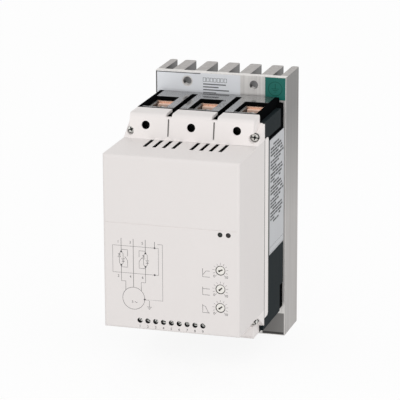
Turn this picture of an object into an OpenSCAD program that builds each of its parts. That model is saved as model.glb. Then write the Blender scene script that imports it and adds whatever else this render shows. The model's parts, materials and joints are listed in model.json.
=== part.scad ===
// Three-pole soft starter on a finned heat sink, in millimetres.
// +X is right, +Y is towards the mounting panel and +Z is up.
// The origin is in the mounting plane, midway between the four mounting holes.

/* [Heat sink] */
// Width of the heat sink
sink_w = 108; // [106:1:124]
// Height of the heat sink
sink_h = 215; // [212:1:240]
// Depth from the mounting plane to the front of the plate
sink_d = 42; // [32:1:60]
// Thickness of the front plate
plate_t = 6; // [4:0.5:9]
// Thickness of an inner fin
fin_t = 9.5; // [9:0.25:11]
// Thickness of an outer fin
side_fin_t = 6; // [4:0.5:7]
// Rounding of the fin tips
tip_r = 2; // [0.5:0.25:2.75]
// Spacing of the mounting holes across, three fin pitches
mount_x = 55; // [54:0.5:56]
// Distance of the mounting holes from the heat sink's ends
mount_edge = 7.5; // [6.5:0.5:8]
// Diameter of the mounting holes
mount_d = 7; // [5:0.5:7.5]

/* [Base housing] */
// Width of the base housing
base_w = 105.8; // [105:0.2:106.4]
// Height of the bare plate beyond the base housing, the mean of above and below
plate_end = 25.5; // [24.5:0.5:26.5]
// Depth from the plate to the joint with the cover
base_d = 63; // [62:1:72]
// Wall of the base housing
base_wall = 2.6; // [2:0.1:2.8]
// Height of the housing's middle above the heat sink's middle
housing_rise = 3.5; // [0:0.5:5]
// Depth of the set-in rim that leaves a dark joint at the plate
rim_d = 2; // [1:0.25:3]
// How far that rim is set in
rim_in = 1.6; // [1:0.1:1.8]

/* [Front cover] */
// Depth of the cover in front of the joint
cover_d = 73; // [70:1:90]
// Height of a hood's foot below the base housing's end
hood_step = 13.6; // [13:0.2:15]
// Wall of the cover
cover_wall = 2.4; // [1.6:0.1:2.6]
// Depth of a terminal hood at its foot
hood_d = 20.5; // [19:0.5:24]
// How far a hood's face leans back
hood_lean = 3.5; // [1:0.5:4.5]
// Height of a hood's top above the base housing
hood_rise = 6.4; // [5.6:0.2:8]
// How far a hood's top is set in from the base housing's sides
hood_in = 3.3; // [2.4:0.1:3.4]
// Rounding of the front face's edges
face_r = 2.2; // [0.5:0.1:3]
// Rounding of a hood's brow
brow_r = 4; // [2:0.5:5]
// Length of the side lips that lap over the base housing
lip_l = 11; // [8:1:12]
// Thickness of the side lips
lip_t = 0.8; // [0.6:0.1:1.2]
// How far the side lips stop short of the base housing's ends
lip_short = 9.5; // [6:0.5:22]

/* [Terminals] */
// Room between an outer terminal and the base housing's wall
pole_room = 3.5; // [3.4:0.1:4]
// Width of a terminal mouth
mouth_w = 18.6; // [17:0.2:18.8]
// Distance from the front of a mouth to the joint with the cover
mouth_front = 4.5; // [4:0.5:8]
// Distance from the plate to the back of a mouth
mouth_back = 23.5; // [21:0.5:24]
// Width of a slot between poles
slot_w = 4.7; // [4.4:0.1:6]
// Depth of a slot from its rim down
slot_depth = 21; // [12:1:22]
// Distance from the plate to the back of a slot
slot_back = 10; // [9:0.5:14]
// Depth of the slot through a hood's brow
hood_slot_drop = 2.6; // [2.5:0.1:3.4]
// Distance of a clamp screw below the base housing's end
clamp_drop = 3; // [3:0.5:5]
// Diameter of the screwdriver hole of a clamp screw
driver_d = 6.6; // [5:0.2:7]
// Room for the wire between bar and saddle
clamp_gap = 9; // [6:0.5:14]
// Room beside a phase bar in its cage
bar_room = 0.3; // [0.3:0.1:1.5]
// Thickness of a phase bar
bar_t = 4; // [3:0.5:5]

/* [Controls] */
// Distance of the dials from the cover's right side
dial_side = 14.9; // [14.8:0.1:24]
// Height of the lowest dial over the lower ledge
dial_rise = 23; // [22:0.1:30]
// Spacing of the dials
dial_pitch = 14.75; // [11:0.25:16]
// Diameter of a dial
dial_d = 6.6; // [5:0.1:7.4]
// Gap round a dial
dial_gap = 0.5; // [0.3:0.1:0.8]
// Height of the lamps over the housing's middle
lamp_z = 12.2; // [6:0.2:14]
// Distance of the first lamp from the cover's right side
lamp_side = 15.1; // [14:0.1:24]
// Spacing of the lamps
lamp_pitch = 6.4; // [5:0.1:6.5]
// Diameter of a lamp
lamp_d = 3.8; // [2.8:0.1:4.4]
// Spacing of the control terminals
wire_pitch = 6.26; // [5.5:0.02:6.6]
// Height of the control terminals over the lower ledge
wire_rise = 7.4; // [6.5:0.1:8.4]
// Diameter of a control screw's hole in the cover
wire_hole_d = 4.2; // [3.6:0.1:4.6]

/* [Labels] */
// Thickness of the labels
label_t = 0.3; // [0.1:0.05:0.4]
// Depth of the side label
side_label_d = 44; // [30:1:46]
// Height of the side label
side_label_h = 93; // [60:1:110]
// Width of the top label
top_label_w = 70; // [66:1:72]
// Width of the green earth label
earth_label_w = 16.5; // [10:0.5:17]

/* [Hidden] */
$fn = 48;
fit = 0.3;
close_fit = 0.05;
past = 1;
arc_steps = 6;

// Main planes, from the mounting plane forwards
y_plate = -sink_d;
y_seam = y_plate - base_d;
y_face = y_seam - cover_d;
y_hood = y_seam - hood_d;

// Half heights of the housing about its own middle
base_h = sink_h - 2 * plate_end;
base_top = base_h / 2;
hood_top = base_top + hood_rise;
ledge = base_top - hood_step;

// Cover over the base housing, which its lips lap
lip_gap = 0.1;
lip_h = base_h - 2 * lip_short;
cover_w = base_w + 2 * (lip_gap + lip_t);
hood_w = base_w - 2 * hood_in;
corner_r = 1;
hood_corner_r = 1.2;

// Mounting holes and fins
mount_z = sink_h - 2 * mount_edge;
fin_pitch = mount_x / 3;
fin_places = [for (i = [-2:2]) i * fin_pitch];

// Tabs of the terminal blocks over the base housing's sides, and the sides' skirts at the lower end
tab_w = 8.5;
tab_h = 17.3;
tab_over = 2.5;
tab_rail_h = 2.3;
tab_flush = 0.1;
skirt = 4;
rim_x = base_w / 2 - rim_in;

// Poles and slots
chimney_wall = 1;
pole_pitch = base_w / 2 - base_wall - pole_room - chimney_wall - mouth_w / 2;
poles = [-pole_pitch, 0, pole_pitch];
slots = [-pole_pitch / 2, pole_pitch / 2];
outer_poles = [-pole_pitch, pole_pitch];
slot_wall = 1.2;
floor_t = 2;
block_w = hood_w - 2 * fit;
block_gap = 3;
y_tab = y_plate - block_gap - tab_w;
y_rail = y_plate - rim_d - fit - side_label_d;
y_mouth = y_plate - mouth_back;
y_mouth_front = y_seam + mouth_front;
mouth_d = y_mouth - y_mouth_front;
y_slot = y_plate - slot_back;
chimney_h = 21;
chimney_foot = base_top - chimney_h;
cage_foot = chimney_foot + floor_t;
cage_drop = 3.4;
cage_top = hood_top - cage_drop;
cage_wall = 2.2;
cage_w = mouth_w - 2 * fit;
cage_d = mouth_d - 2 * fit;
clamp_z = base_top - clamp_drop;
clamp_r = 3.5;
clamp_head_r = 5;
clamp_head_l = 7;
clamp_hex_r = 2.4;
y_bar = y_mouth - 2 * fit - cage_wall;
y_bar_front = y_bar - bar_t;
bar_w = cage_w - 2 * (cage_wall + bar_room);
bar_drop = 1.5;
bar_top = cage_top - bar_drop;
y_saddle = y_bar_front - clamp_gap;
saddle_t = 3;
saddle_w = cage_w - 2 * cage_wall - 2 * fit;
saddle_drop = 1;
saddle_top = cage_top - saddle_drop;
saddle_foot = cage_foot + fit;

// Cover screws
screw_rise = 5.4;
screw_z = ledge + screw_rise;
screw_in = 4.3;
screw_x = cover_w / 2 - screw_in;
screw_r = 1.5;
screw_head_r = 3;
screw_head_t = 3;
pocket_r = 3.6;
pocket_depth = 9;
y_pocket = y_hood + pocket_depth;
post_w = 9.5;
boss_r = 2.6;
boss_l = 12;

// Base screws
lug = 14;
lug_t = 4;
lug_z = base_top - rim_in - lug / 2;
base_screw_r = 2;
base_head_r = 3.8;
base_head_t = 3;
base_screw_l = 8;

// Power parts on the plate
pad_t = 0.5;
module_w = 20;
module_h = 94;
module_ear = 9;
module_ear_t = 8;
y_module = y_plate - pad_t;
module_screw_z = module_h / 2 - module_ear / 2;
module_screw_r = 2;
bar_foot = 20;
bar_screw_z = 32;
bar_screw_r = 2.5;
bar_head_r = 4.2;
bar_head_t = 3.5;
bar_screw_l = 8;
insulator_r = 7;
sensor = [10, 5, 8];
sensor_z = -39;

// Boards
board_t = 1.6;
board_room = 3.4;
board_w = cover_w - 2 * cover_wall - 2 * board_room;
board_end = 10.4;
board_h = 2 * (ledge - board_end);
board_step = 3.4;
y_board = y_seam - board_step;
spacer_end = 6;
spacer_z = board_h / 2 - spacer_end;
spacer_r = 3;
board_screw_r = 1.5;
board_head_r = 2.8;
board_head_t = 2.2;
board_screw_l = 8;
post_r = 2.5;
post_z = 24.5;
relay_w = 22;
relay_h = 60;
post_l = 7.5;
y_relay = y_bar_front - post_l;
control_depth = 19.6;
y_control = y_face + control_depth;
control_lift = 5;
control_foot = -ledge + cover_wall + control_lift;
control_top = 22;
control_edge = 4;
control_spacer_x = board_w / 2 - control_edge;
control_spacer_z = [control_foot + control_edge, control_top - control_edge];
control_spacer_r = 2.5;
capacitor_r = 5;
capacitor_l = 22;
signal_relay_w = 15;
signal_relay_h = 20;
signal_relay_d = 16;
ribbon_w = 24;
ribbon_t = 0.9;
ribbon_rise = 13;
ribbon_z = control_foot + ribbon_rise;
ribbon_end = 4;
ribbon_plug = 1;

// Controls
dial_x = cover_w / 2 - dial_side;
lamp_x = cover_w / 2 - lamp_side;
wire_z = -ledge + wire_rise;
dial_places = [for (i = [0:2]) -ledge + dial_rise + (2 - i) * dial_pitch];
dial_rest = [65, 48, 52];
dial_slot_w = 1.1;
dial_slot_depth = 0.8;
dial_slot_end = 0.5;
shaft_r = 1.5;
shaft_l = 5;
trimmer_w = 9.4;
trimmer_d = 9;
y_trimmer = y_control - board_t - trimmer_d;
dial_sunk = 0.2;
wire_count = 9;
wire_places = [for (i = [0:wire_count - 1]) (i - (wire_count - 1) / 2) * wire_pitch];
wire_block_end = 1;
wire_block_w = wire_count * wire_pitch + 2 * wire_block_end;
wire_block_d = 13.5;
wire_block_rise = 6;
wire_block_top = wire_z + wire_block_rise;
wire_block_foot = -ledge + cover_wall + fit;
wire_screw_r = 1.7;
wire_entry = 3.4;
y_wire_block = y_control - board_t - wire_block_d;
wire_screw_l = 5;
wire_proud = 2;
groove_z = 15.5;
groove_w = 0.5;
groove_depth = 0.3;

// Grooves in the hoods' faces and beside the lips, thin land round a driver hole
hood_groove_w = 1.1;
hood_groove_depth = 1.6;
hood_groove_foot = 3.5;
lip_groove_w = 0.7;
lip_groove_depth = 0.5;
lip_groove_end = 1;
driver_land = 0.9;
driver_rim = 1;
lean_angle = atan(hood_lean / (hood_top - ledge));

// Vents in the upper ledge
vent_w = 3;
vent_l = 22.5;
vent_pitch = 7.6;
vent_group_x = 18.6;
vent_back = 0.4;
vent_count = 4;
vent_land = 1;
vent_rim = 1;

// Labels
side_label_rise = 17.5;
label_tuck = 3;
label_edge = 0.6;
label_in = 0.4;

// Shared shapes

// Places the housing's own middle above the heat sink's middle
module housing() translate([0, 0, housing_rise]) children();

// Turns an upper end into the matching lower end
module lower_end() mirror([0, 0, 1]) children();

// A box given by its lowest and highest corners
module block(low, high) translate(low) cube(high - low);

// A rod along Y from y0 to y1
module rod(x, z, r, y0, y1) {
    translate([x, max(y0, y1), z]) rotate([90, 0, 0]) cylinder(r = r, h = abs(y1 - y0));
}

function unit(v) = v / norm(v);

// Points of an arc of radius r that rounds the corner b between a and c
function round_corner(a, b, c, r) =
    let (
        u = unit(a - b),
        v = unit(c - b),
        half = acos(u * v) / 2,
        reach = r / tan(half),
        centre = b + unit(u + v) * r / sin(half),
        from = b + u * reach - centre,
        to = b + v * reach - centre,
        turn = atan2(from.x * to.y - from.y * to.x, from * to)
    )
    [for (i = [0:arc_steps]) let (t = turn * i / arc_steps)
        centre + [from.x * cos(t) - from.y * sin(t), from.x * sin(t) + from.y * cos(t)]];

// An outline whose corners, given as [x, y, r], are rounded where r is above zero
function rounded(corners) =
    [for (i = [0:len(corners) - 1])
        let (
            n = len(corners),
            a = corners[(i + n - 1) % n],
            b = corners[i],
            c = corners[(i + 1) % n]
        )
        each b[2] > 0
            ? round_corner([a.x, a.y], [b.x, b.y], [c.x, c.y], b[2])
            : [[b.x, b.y]]];

// Extrudes an outline in Y and Z along X, centred
module along_x(length) {
    translate([-length / 2, 0, 0]) rotate([90, 0, 90]) linear_extrude(length) children();
}

// Heat sink

// Section of one fin, from the plate's back to the mounting plane
module fin_section(width) {
    fin_l = sink_d - plate_t + past;
    translate([-width / 2, -fin_l]) square([width, fin_l - tip_r]);
    translate([-width / 2 + tip_r, -fin_l]) square([width - 2 * tip_r, fin_l]);
    for (side = [-1, 1]) translate([side * (width / 2 - tip_r), -tip_r]) circle(tip_r);
}

module sink_section() {
    translate([-sink_w / 2, y_plate]) square([sink_w, plate_t]);
    for (x = fin_places) translate([x, 0]) fin_section(fin_t);
    for (side = [-1, 1]) translate([side * (sink_w - side_fin_t) / 2, 0]) fin_section(side_fin_t);
}

module heat_sink() {
    color("#b3aea8") difference() {
        translate([0, 0, -sink_h / 2]) linear_extrude(sink_h) sink_section();
        for (x = [-1, 1], z = [-1, 1])
            rod(x * mount_x / 2, z * mount_z / 2, mount_d / 2, y_plate - past, y_plate + plate_t + past);
        housing() {
            base_screw_places() tapped_hole(base_screw_r);
            module_screw_places() tapped_hole(module_screw_r);
        }
    }
}

// Hole in the plate for a screw of radius r
module tapped_hole(r) rod(0, 0, r + close_fit, y_plate - past, y_plate + base_screw_l + fit);

// Base housing

module base_screw_places() {
    for (x = [-1, 1], z = [-1, 1]) translate([x * 2 * fin_pitch, 0, z * lug_z]) children();
}

module cover_screw_places() {
    for (x = [-1, 1], z = [-1, 1]) translate([x * screw_x, 0, z * screw_z]) children();
}

module base_housing() {
    half_w = base_w / 2;
    inner_w = half_w - base_wall;
    rim_w = half_w - rim_in;
    rim_top = base_top - rim_in;
    opening_w = pole_pitch + mouth_w / 2 + chimney_wall + fit;
    color("#373e40") housing() difference() {
        union() {
            difference() {
                block([-half_w, y_seam, -base_top], [half_w, y_plate - rim_d, base_top]);
                block([-inner_w, y_seam - past, -base_top + base_wall],
                      [inner_w, y_plate, base_top - base_wall]);
            }
            difference() {
                block([-rim_w, y_plate - 2 * rim_d, -rim_top], [rim_w, y_plate, rim_top]);
                block([-rim_w + base_wall, y_seam, -rim_top + base_wall],
                      [rim_w - base_wall, y_plate + past, rim_top - base_wall]);
            }
            base_screw_places()
                block([-lug / 2, y_plate - lug_t, -lug / 2], [lug / 2, y_plate, lug / 2]);
            for (side = [-1, 1])
                block([side > 0 ? inner_w : -half_w, y_seam, -base_top - skirt],
                      [side > 0 ? half_w : -inner_w, y_tab - 2 * fit, -base_top + base_wall]);
            cover_screw_places() rod(0, 0, boss_r, y_seam, y_seam + boss_l);
            for (x = [-1, 1], z = [-1, 1])
                block([x > 0 ? screw_x : -half_w, y_seam, z * screw_z - boss_r],
                      [x > 0 ? half_w : -screw_x, y_seam + boss_l, z * screw_z + boss_r]);
        }
        for (z = [-1, 1])
            block([-opening_w, y_seam - past, z > 0 ? base_top - 2 * base_wall : -base_top - past],
                  [opening_w, y_slot + slot_wall + fit,
                   z > 0 ? base_top + past : -base_top + 2 * base_wall]);
        base_screw_places() rod(0, 0, base_screw_r + close_fit, y_plate - lug_t - past, y_plate + past);
        cover_screw_places() rod(0, 0, screw_r + close_fit, y_seam - past, y_seam + boss_l - past);
        for (side = [-1, 1], z = [-1, 1]) tab_notch(side, z);
    }
}

// Notch in a side of the housing for a terminal block's tab, and for its rail at the upper end
module tab_notch(side, z) {
    reach = [side > 0 ? rim_x : -base_w / 2 - past, side > 0 ? base_w / 2 + past : -rim_x];
    foot = base_top - tab_h - fit;
    top = base_top + skirt + past;
    block([reach[0], y_tab - fit, z > 0 ? foot : -top],
          [reach[1], y_plate - rim_d + past, z > 0 ? top : -foot]);
    if (z > 0)
        block([reach[0], y_rail - fit, foot], [reach[1], y_tab, foot + tab_rail_h + 2 * fit]);
}

module base_screws() {
    color("#c9cbcc") housing() base_screw_places()
        slotted_screw(base_screw_r, base_head_r, base_head_t, y_plate - lug_t, base_screw_l + lug_t);
}

// A slotted screw along Y whose head sits on the plane y and whose shank goes back by l
module slotted_screw(r, head_r, head_t, y, l) {
    difference() {
        union() {
            rod(0, 0, head_r, y - head_t, y);
            rod(0, 0, r, y - head_t / 2, y + l);
        }
        block([-head_r - past, y - head_t - past, -r / 4], [head_r + past, y - head_t / 2, r / 4]);
    }
}

// Front cover

// Side outline of the cover in Y and Z, set in by i, with its rear edge at y
function cover_side(i, y, brow, foot, edge) = [
    [y, hood_top - i, 0],
    [y_hood + hood_lean + i, hood_top - i, brow],
    [y_hood + i, ledge - i, foot],
    [y_face + i, ledge - i, edge],
    [y_face + i, -ledge + i, edge],
    [y_hood + i, -ledge + i, foot],
    [y_hood + hood_lean + i, -hood_top + i, brow],
    [y, -hood_top + i, 0]
];

// Side outline of the cover's full width, whose shoulders slope from the joint down to the ledges
function shoulder_side(i, y, foot, edge) = [
    [y, base_top - i, 0],
    [y_seam, base_top - i, 0],
    [y_hood + i, ledge - i, foot],
    [y_face + i, ledge - i, edge],
    [y_face + i, -ledge + i, edge],
    [y_hood + i, -ledge + i, foot],
    [y_seam, -base_top + i, 0],
    [y, -base_top + i, 0]
];

// Plan outline of the cover in X and Y with rounded front edges
module cover_plan(i, y, edge) {
    half_w = cover_w / 2 - i;
    polygon(rounded([
        [-half_w, y, 0], [half_w, y, 0], [half_w, y_face + i, edge], [-half_w, y_face + i, edge]
    ]));
}

// Front outline of the cover: full width beside the base housing, narrower at the hoods' tops
module cover_front(i) {
    half_w = cover_w / 2 - i;
    half_top = hood_w / 2 - i;
    step = base_top - i;
    polygon(rounded([
        [half_w, step, corner_r], [half_top, step, 0], [half_top, hood_top - i, hood_corner_r],
        [-half_top, hood_top - i, hood_corner_r], [-half_top, step, 0], [-half_w, step, corner_r],
        [-half_w, -step, corner_r], [-half_top, -step, 0], [-half_top, -hood_top + i, hood_corner_r],
        [half_top, -hood_top + i, hood_corner_r], [half_top, -step, 0], [half_w, -step, corner_r]
    ]));
}

module cover_solid(i, y, brow, foot, edge) {
    intersection() {
        union() {
            along_x(hood_w - 2 * i) polygon(rounded(cover_side(i, y, brow, foot, edge)));
            along_x(cover_w - 2 * i) polygon(rounded(shoulder_side(i, y, foot, edge)));
        }
        translate([0, 0, -hood_top]) linear_extrude(2 * hood_top) cover_plan(i, y, edge);
        translate([0, y, 0]) rotate([90, 0, 0]) linear_extrude(y - y_face) cover_front(i);
    }
}

module front_cover() {
    inner_r = 1;
    color("#e4e0dd") housing() difference() {
        union() {
            difference() {
                cover_solid(0, y_seam, brow_r, inner_r, face_r);
                cover_solid(cover_wall, y_seam + past, inner_r, inner_r / 2, inner_r);
            }
            intersection() {
                cover_solid(0, y_seam, brow_r, inner_r, face_r);
                cover_screw_places()
                    block([-post_w / 2, y_hood, -post_w / 2], [post_w / 2, y_seam, post_w / 2]);
            }
            cover_lips();
        }
        screw_pockets();
        for (x = poles, z = [-1, 1]) driver_hole(x, z);
        for (x = slots, z = [-1, 1]) hood_cuts(x, z);
        for (side = [-1, 1]) vent_group(side * vent_group_x);
        for (side = [-1, 1]) lip_groove(side);
        for (z = dial_places) face_hole(dial_x, z, dial_d / 2 + dial_gap);
        for (i = [0, 1]) face_hole(lamp_x + i * lamp_pitch, lamp_z, lamp_d / 2 + close_fit);
        for (x = wire_places) {
            face_hole(x, wire_z, wire_hole_d / 2);
            block([x - wire_entry / 2, y_wire_block + wire_entry, -ledge - past],
                  [x + wire_entry / 2, y_wire_block + 2 * wire_entry, -ledge + cover_wall + past]);
        }
        block([-cover_w / 2, y_face - past, groove_z - groove_w / 2],
              [cover_w / 2, y_face + groove_depth, groove_z + groove_w / 2]);
    }
}

// Round hole through the front face
module face_hole(x, z, r) rod(x, z, r, y_face - past, y_face + cover_wall + past);

// Side lips that lap over the base housing
module cover_lips() {
    lip_r = 3;
    for (side = [-1, 1]) translate([side * (cover_w - lip_t) / 2, 0, -housing_rise])
        along_x(lip_t) polygon(rounded([
            [y_seam - cover_wall, -lip_h / 2, 0], [y_seam + lip_l, -lip_h / 2, lip_r],
            [y_seam + lip_l, lip_h / 2, lip_r], [y_seam - cover_wall, lip_h / 2, 0]
        ]));
}

// Corner pockets that hold the cover screws' heads
module screw_pockets() {
    cover_screw_places() {
        rod(0, 0, pocket_r, y_hood - past, y_pocket);
        rod(0, 0, screw_r + fit, y_pocket - past, y_seam + past);
    }
}

// Slot between two poles through the hood's brow, and the groove below it
module hood_cuts(x, z) {
    slot_floor = hood_top - hood_slot_drop;
    block([x - slot_w / 2, y_hood - past, z > 0 ? slot_floor : -hood_top - past],
          [x + slot_w / 2, y_seam + past, z > 0 ? hood_top + past : -slot_floor]);
    lean = hood_lean / (hood_top - ledge);
    groove_top = hood_top - brow_r - ledge;
    multmatrix([[1, 0, 0, x], [0, 1, z * lean, y_hood], [0, 0, 1, z * ledge]])
        block([-hood_groove_w / 2, -past, z > 0 ? hood_groove_foot : -groove_top],
              [hood_groove_w / 2, hood_groove_depth, z > 0 ? groove_top : -hood_groove_foot]);
}

// Screwdriver hole in a hood's leaning face, thinned from behind
module driver_hole(x, z) {
    y_land = y_hood + (clamp_z - ledge) * tan(lean_angle);
    rod(x, z * clamp_z, driver_d / 2, y_hood - past, y_hood + 2 * cover_wall + hood_lean);
    translate([x, y_land, z * clamp_z]) rotate([-z * lean_angle, 0, 0])
        rod(0, 0, driver_d / 2 + driver_rim, driver_land, 2 * cover_wall);
}

// A row of vent slits in the upper ledge, whose wall is thinner round them
module vent_group(x) {
    y_back = y_hood - vent_back;
    reach = (vent_count - 1) * vent_pitch / 2 + vent_w / 2 + vent_rim;
    for (i = [0:vent_count - 1]) translate([x + (i - (vent_count - 1) / 2) * vent_pitch, 0, 0])
        block([-vent_w / 2, y_back - vent_l, ledge - cover_wall - past],
              [vent_w / 2, y_back, ledge + past]);
    block([x - reach, y_back - vent_l - vent_rim, ledge - cover_wall - past],
          [x + reach, y_back, ledge - vent_land]);
}

// Groove that parts a side lip from the cover's side
module lip_groove(side) {
    half_w = cover_w / 2;
    half_l = lip_h / 2 - lip_groove_end;
    translate([0, 0, -housing_rise])
        block([side > 0 ? half_w - lip_groove_depth : -half_w - past, y_seam - lip_groove_w, -half_l],
              [side > 0 ? half_w + past : -half_w + lip_groove_depth, y_seam, half_l]);
}

module cover_screws() {
    color("#c4c8ca") housing() cover_screw_places()
        slotted_screw(screw_r, screw_head_r, screw_head_t, y_pocket,
                      y_seam + boss_l - 2 * past - y_pocket);
}

// Terminals

// Upper terminal block: a cap with three mouths and two slots, on chimneys that hold the box terminals
module terminal_block() {
    chimney_w = mouth_w / 2 + chimney_wall;
    difference() {
        union() {
            block([-block_w / 2, y_seam + fit, base_top], [block_w / 2, y_plate - block_gap, hood_top]);
            for (x = poles)
                block([x - chimney_w, y_mouth_front - chimney_wall, chimney_foot],
                      [x + chimney_w, y_mouth + chimney_wall, base_top]);
            for (x = slots)
                block([x - slot_w / 2 - slot_wall, y_seam + fit, hood_top - slot_depth - slot_wall],
                      [x + slot_w / 2 + slot_wall, y_slot + slot_wall, base_top]);
        }
        for (x = poles) {
            block([x - mouth_w / 2, y_mouth_front, cage_foot], [x + mouth_w / 2, y_mouth, hood_top + past]);
            block([x - bar_w / 2 - fit, y_bar_front - fit, chimney_foot - past],
                  [x + bar_w / 2 + fit, y_bar + fit, cage_foot + past]);
            rod(x, clamp_z, clamp_r + fit, y_seam - past, y_mouth_front + past);
        }
        for (x = slots)
            block([x - slot_w / 2, y_seam, hood_top - slot_depth],
                  [x + slot_w / 2, y_slot, hood_top + past]);
    }
}

// Tab over a side of the housing, which stops a terminal block from tipping
module side_tab(side) {
    skin = base_w / 2 - tab_flush;
    reach = [side > 0 ? rim_x + fit : -skin, side > 0 ? skin : -rim_x - fit];
    block([side > 0 ? block_w / 2 - past : -skin, y_tab, base_top],
          [side > 0 ? skin : -block_w / 2 + past, y_plate - block_gap, base_top + tab_over]);
    block([reach[0], y_tab, base_top - tab_h], [reach[1], y_plate - block_gap, base_top + tab_over]);
}

// Rail of a tab along the side label
module tab_rail(side) {
    skin = base_w / 2 - tab_flush;
    foot = base_top - tab_h;
    block([side > 0 ? rim_x + fit : -skin, y_rail, foot],
          [side > 0 ? skin : -rim_x - fit, y_plate - block_gap, foot + tab_rail_h]);
}

module upper_terminal_block() {
    color("#1d1f20") housing() {
        terminal_block();
        for (side = [-1, 1]) {
            side_tab(side);
            tab_rail(side);
        }
    }
}

module lower_terminal_block() {
    color("#1d1f20") housing() lower_end() {
        terminal_block();
        for (side = [-1, 1]) side_tab(side);
    }
}

// Steel cage of a box terminal, open above and below, with the clamp screw's thread in its front wall
module box_cage(x) {
    y_back = y_mouth - fit;
    translate([x, 0, 0]) difference() {
        block([-cage_w / 2, y_back - cage_d, cage_foot], [cage_w / 2, y_back, cage_top]);
        block([-cage_w / 2 + cage_wall, y_back - cage_d + cage_wall, cage_foot - past],
              [cage_w / 2 - cage_wall, y_back - cage_wall, cage_top + past]);
        rod(0, clamp_z, clamp_r + close_fit, y_back - cage_d - past, y_back - cage_d + cage_wall + past);
    }
}

module line_box(x) color("#c2c0ba") housing() box_cage(x);

module load_box(x) color("#c2c0ba") housing() lower_end() box_cage(x);

// Socket-head clamp screws that push the saddles
module clamp_screws() {
    y_shoulder = y_seam - fit;
    for (x = poles) difference() {
        union() {
            rod(x, clamp_z, clamp_r, y_saddle - saddle_t, y_shoulder);
            rod(x, clamp_z, clamp_head_r, y_shoulder, y_shoulder - clamp_head_l);
        }
        translate([x, y_shoulder - clamp_head_l / 2, clamp_z]) rotate([90, 0, 0])
            cylinder(r = clamp_hex_r, h = clamp_head_l, $fn = 6);
    }
}

module line_clamp_screws() color("#a9abad") housing() clamp_screws();

module load_clamp_screws() color("#a9abad") housing() lower_end() clamp_screws();

// Arched saddles that press the wires to the bars
module clamp_saddles() {
    arch_r = saddle_w / 2;
    for (x = poles) {
        block([x - arch_r, y_saddle - saddle_t, saddle_foot],
              [x + arch_r, y_saddle, saddle_top - arch_r]);
        rod(x, saddle_top - arch_r, arch_r, y_saddle - saddle_t, y_saddle);
    }
}

module line_clamp_saddles() color("#cfccc4") housing() clamp_saddles();

module load_clamp_saddles() color("#cfccc4") housing() lower_end() clamp_saddles();

// Power path

// Flat bar from its foot up into a box terminal, with an optional screw hole
module end_bar(x, foot, hole) {
    difference() {
        block([x - bar_w / 2, y_bar_front, foot], [x + bar_w / 2, y_bar, bar_top]);
        if (hole) rod(x, bar_screw_z, bar_screw_r + fit, y_bar_front - past, y_bar + past);
    }
}

module line_bar(x) color("#c77b4a") housing() end_bar(x, bar_foot, true);

module load_bar(x) color("#c77b4a") housing() lower_end() end_bar(x, bar_foot, true);

module phase_bar_l2() color("#c77b4a") housing() end_bar(0, -bar_top, false);

module bar_insulator() color("#8a2f22") housing() rod(0, 0, insulator_r, y_bar, y_plate);

// Power module: a body that carries the bars, with a screw ear at each end
module thyristor_module(x) {
    color("#2a2b2d") housing() difference() {
        union() {
            block([x - module_w / 2, y_bar, -module_h / 2 + module_ear],
                  [x + module_w / 2, y_module, module_h / 2 - module_ear]);
            block([x - module_w / 2, y_module - module_ear_t, -module_h / 2],
                  [x + module_w / 2, y_module, module_h / 2]);
        }
        for (z = [-1, 1]) {
            rod(x, z * bar_screw_z, bar_screw_r + close_fit, y_bar - past, y_bar + bar_screw_l + past);
            rod(x, z * module_screw_z, module_screw_r + fit,
                y_module - module_ear_t - past, y_module + past);
        }
    }
}

module module_screw_places() {
    for (x = outer_poles, z = [-1, 1]) translate([x, 0, z * module_screw_z]) children();
}

module module_screws() {
    color("#c9cbcc") housing() module_screw_places()
        slotted_screw(module_screw_r, base_head_r, base_head_t, y_module - module_ear_t,
                      module_ear_t + pad_t + base_screw_l);
}

module thermal_pads() {
    color("#d9d7cf") housing() for (x = outer_poles) difference() {
        block([x - module_w / 2, y_module, -module_h / 2], [x + module_w / 2, y_plate, module_h / 2]);
        for (z = [-1, 1])
            rod(x, z * module_screw_z, module_screw_r + fit, y_module - past, y_plate + past);
    }
}

module bar_screws() {
    color("#c9cbcc") housing() for (x = outer_poles, z = [-1, 1]) translate([x, 0, z * bar_screw_z])
        slotted_screw(bar_screw_r, bar_head_r, bar_head_t, y_bar_front, bar_t + bar_screw_l);
}

module bypass_relay(x) {
    color("#2f4f7a") housing()
        block([x - relay_w / 2, y_board, -relay_h / 2], [x + relay_w / 2, y_relay, relay_h / 2]);
}

module bypass_posts() {
    color("#c77b4a") housing() for (x = outer_poles, z = [-1, 1])
        rod(x, z * post_z, post_r, y_relay, y_bar_front);
}

module temperature_sensor() {
    color("#26282a") housing()
        translate([-sensor.x / 2, y_plate - sensor.y, sensor_z]) cube(sensor);
}

// Boards

// Screw that holds a board whose front is at y
module board_screw(y) {
    slotted_screw(board_screw_r, board_head_r, board_head_t, y, board_t + board_screw_l);
}

module spacer_places() {
    for (x = slots, z = [-1, 1]) translate([x, 0, z * spacer_z]) children();
}

module board_spacers() {
    color("#d0cfca") housing() spacer_places() difference() {
        rod(0, 0, spacer_r, y_board, y_plate);
        rod(0, 0, board_screw_r + close_fit, y_board - past, y_board + board_screw_l + past);
    }
}

module power_board() {
    color("#2e6b45") housing() difference() {
        block([-board_w / 2, y_board - board_t, -board_h / 2], [board_w / 2, y_board, board_h / 2]);
        spacer_places() rod(0, 0, board_screw_r + fit, y_board - board_t - past, y_board + past);
    }
}

module board_screws() {
    color("#c9cbcc") housing() spacer_places()
        board_screw(y_board - board_t);
}

module board_capacitors() {
    color("#3a3f66") housing() for (i = [-1, 0, 1])
        rod(i * 3 * capacitor_r, board_h / 2 - 3 * capacitor_r, capacitor_r,
            y_board - board_t - capacitor_l, y_board - board_t);
}

module control_spacer_places() {
    for (x = [-1, 1], z = control_spacer_z) translate([x * control_spacer_x, 0, z]) children();
}

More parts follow.
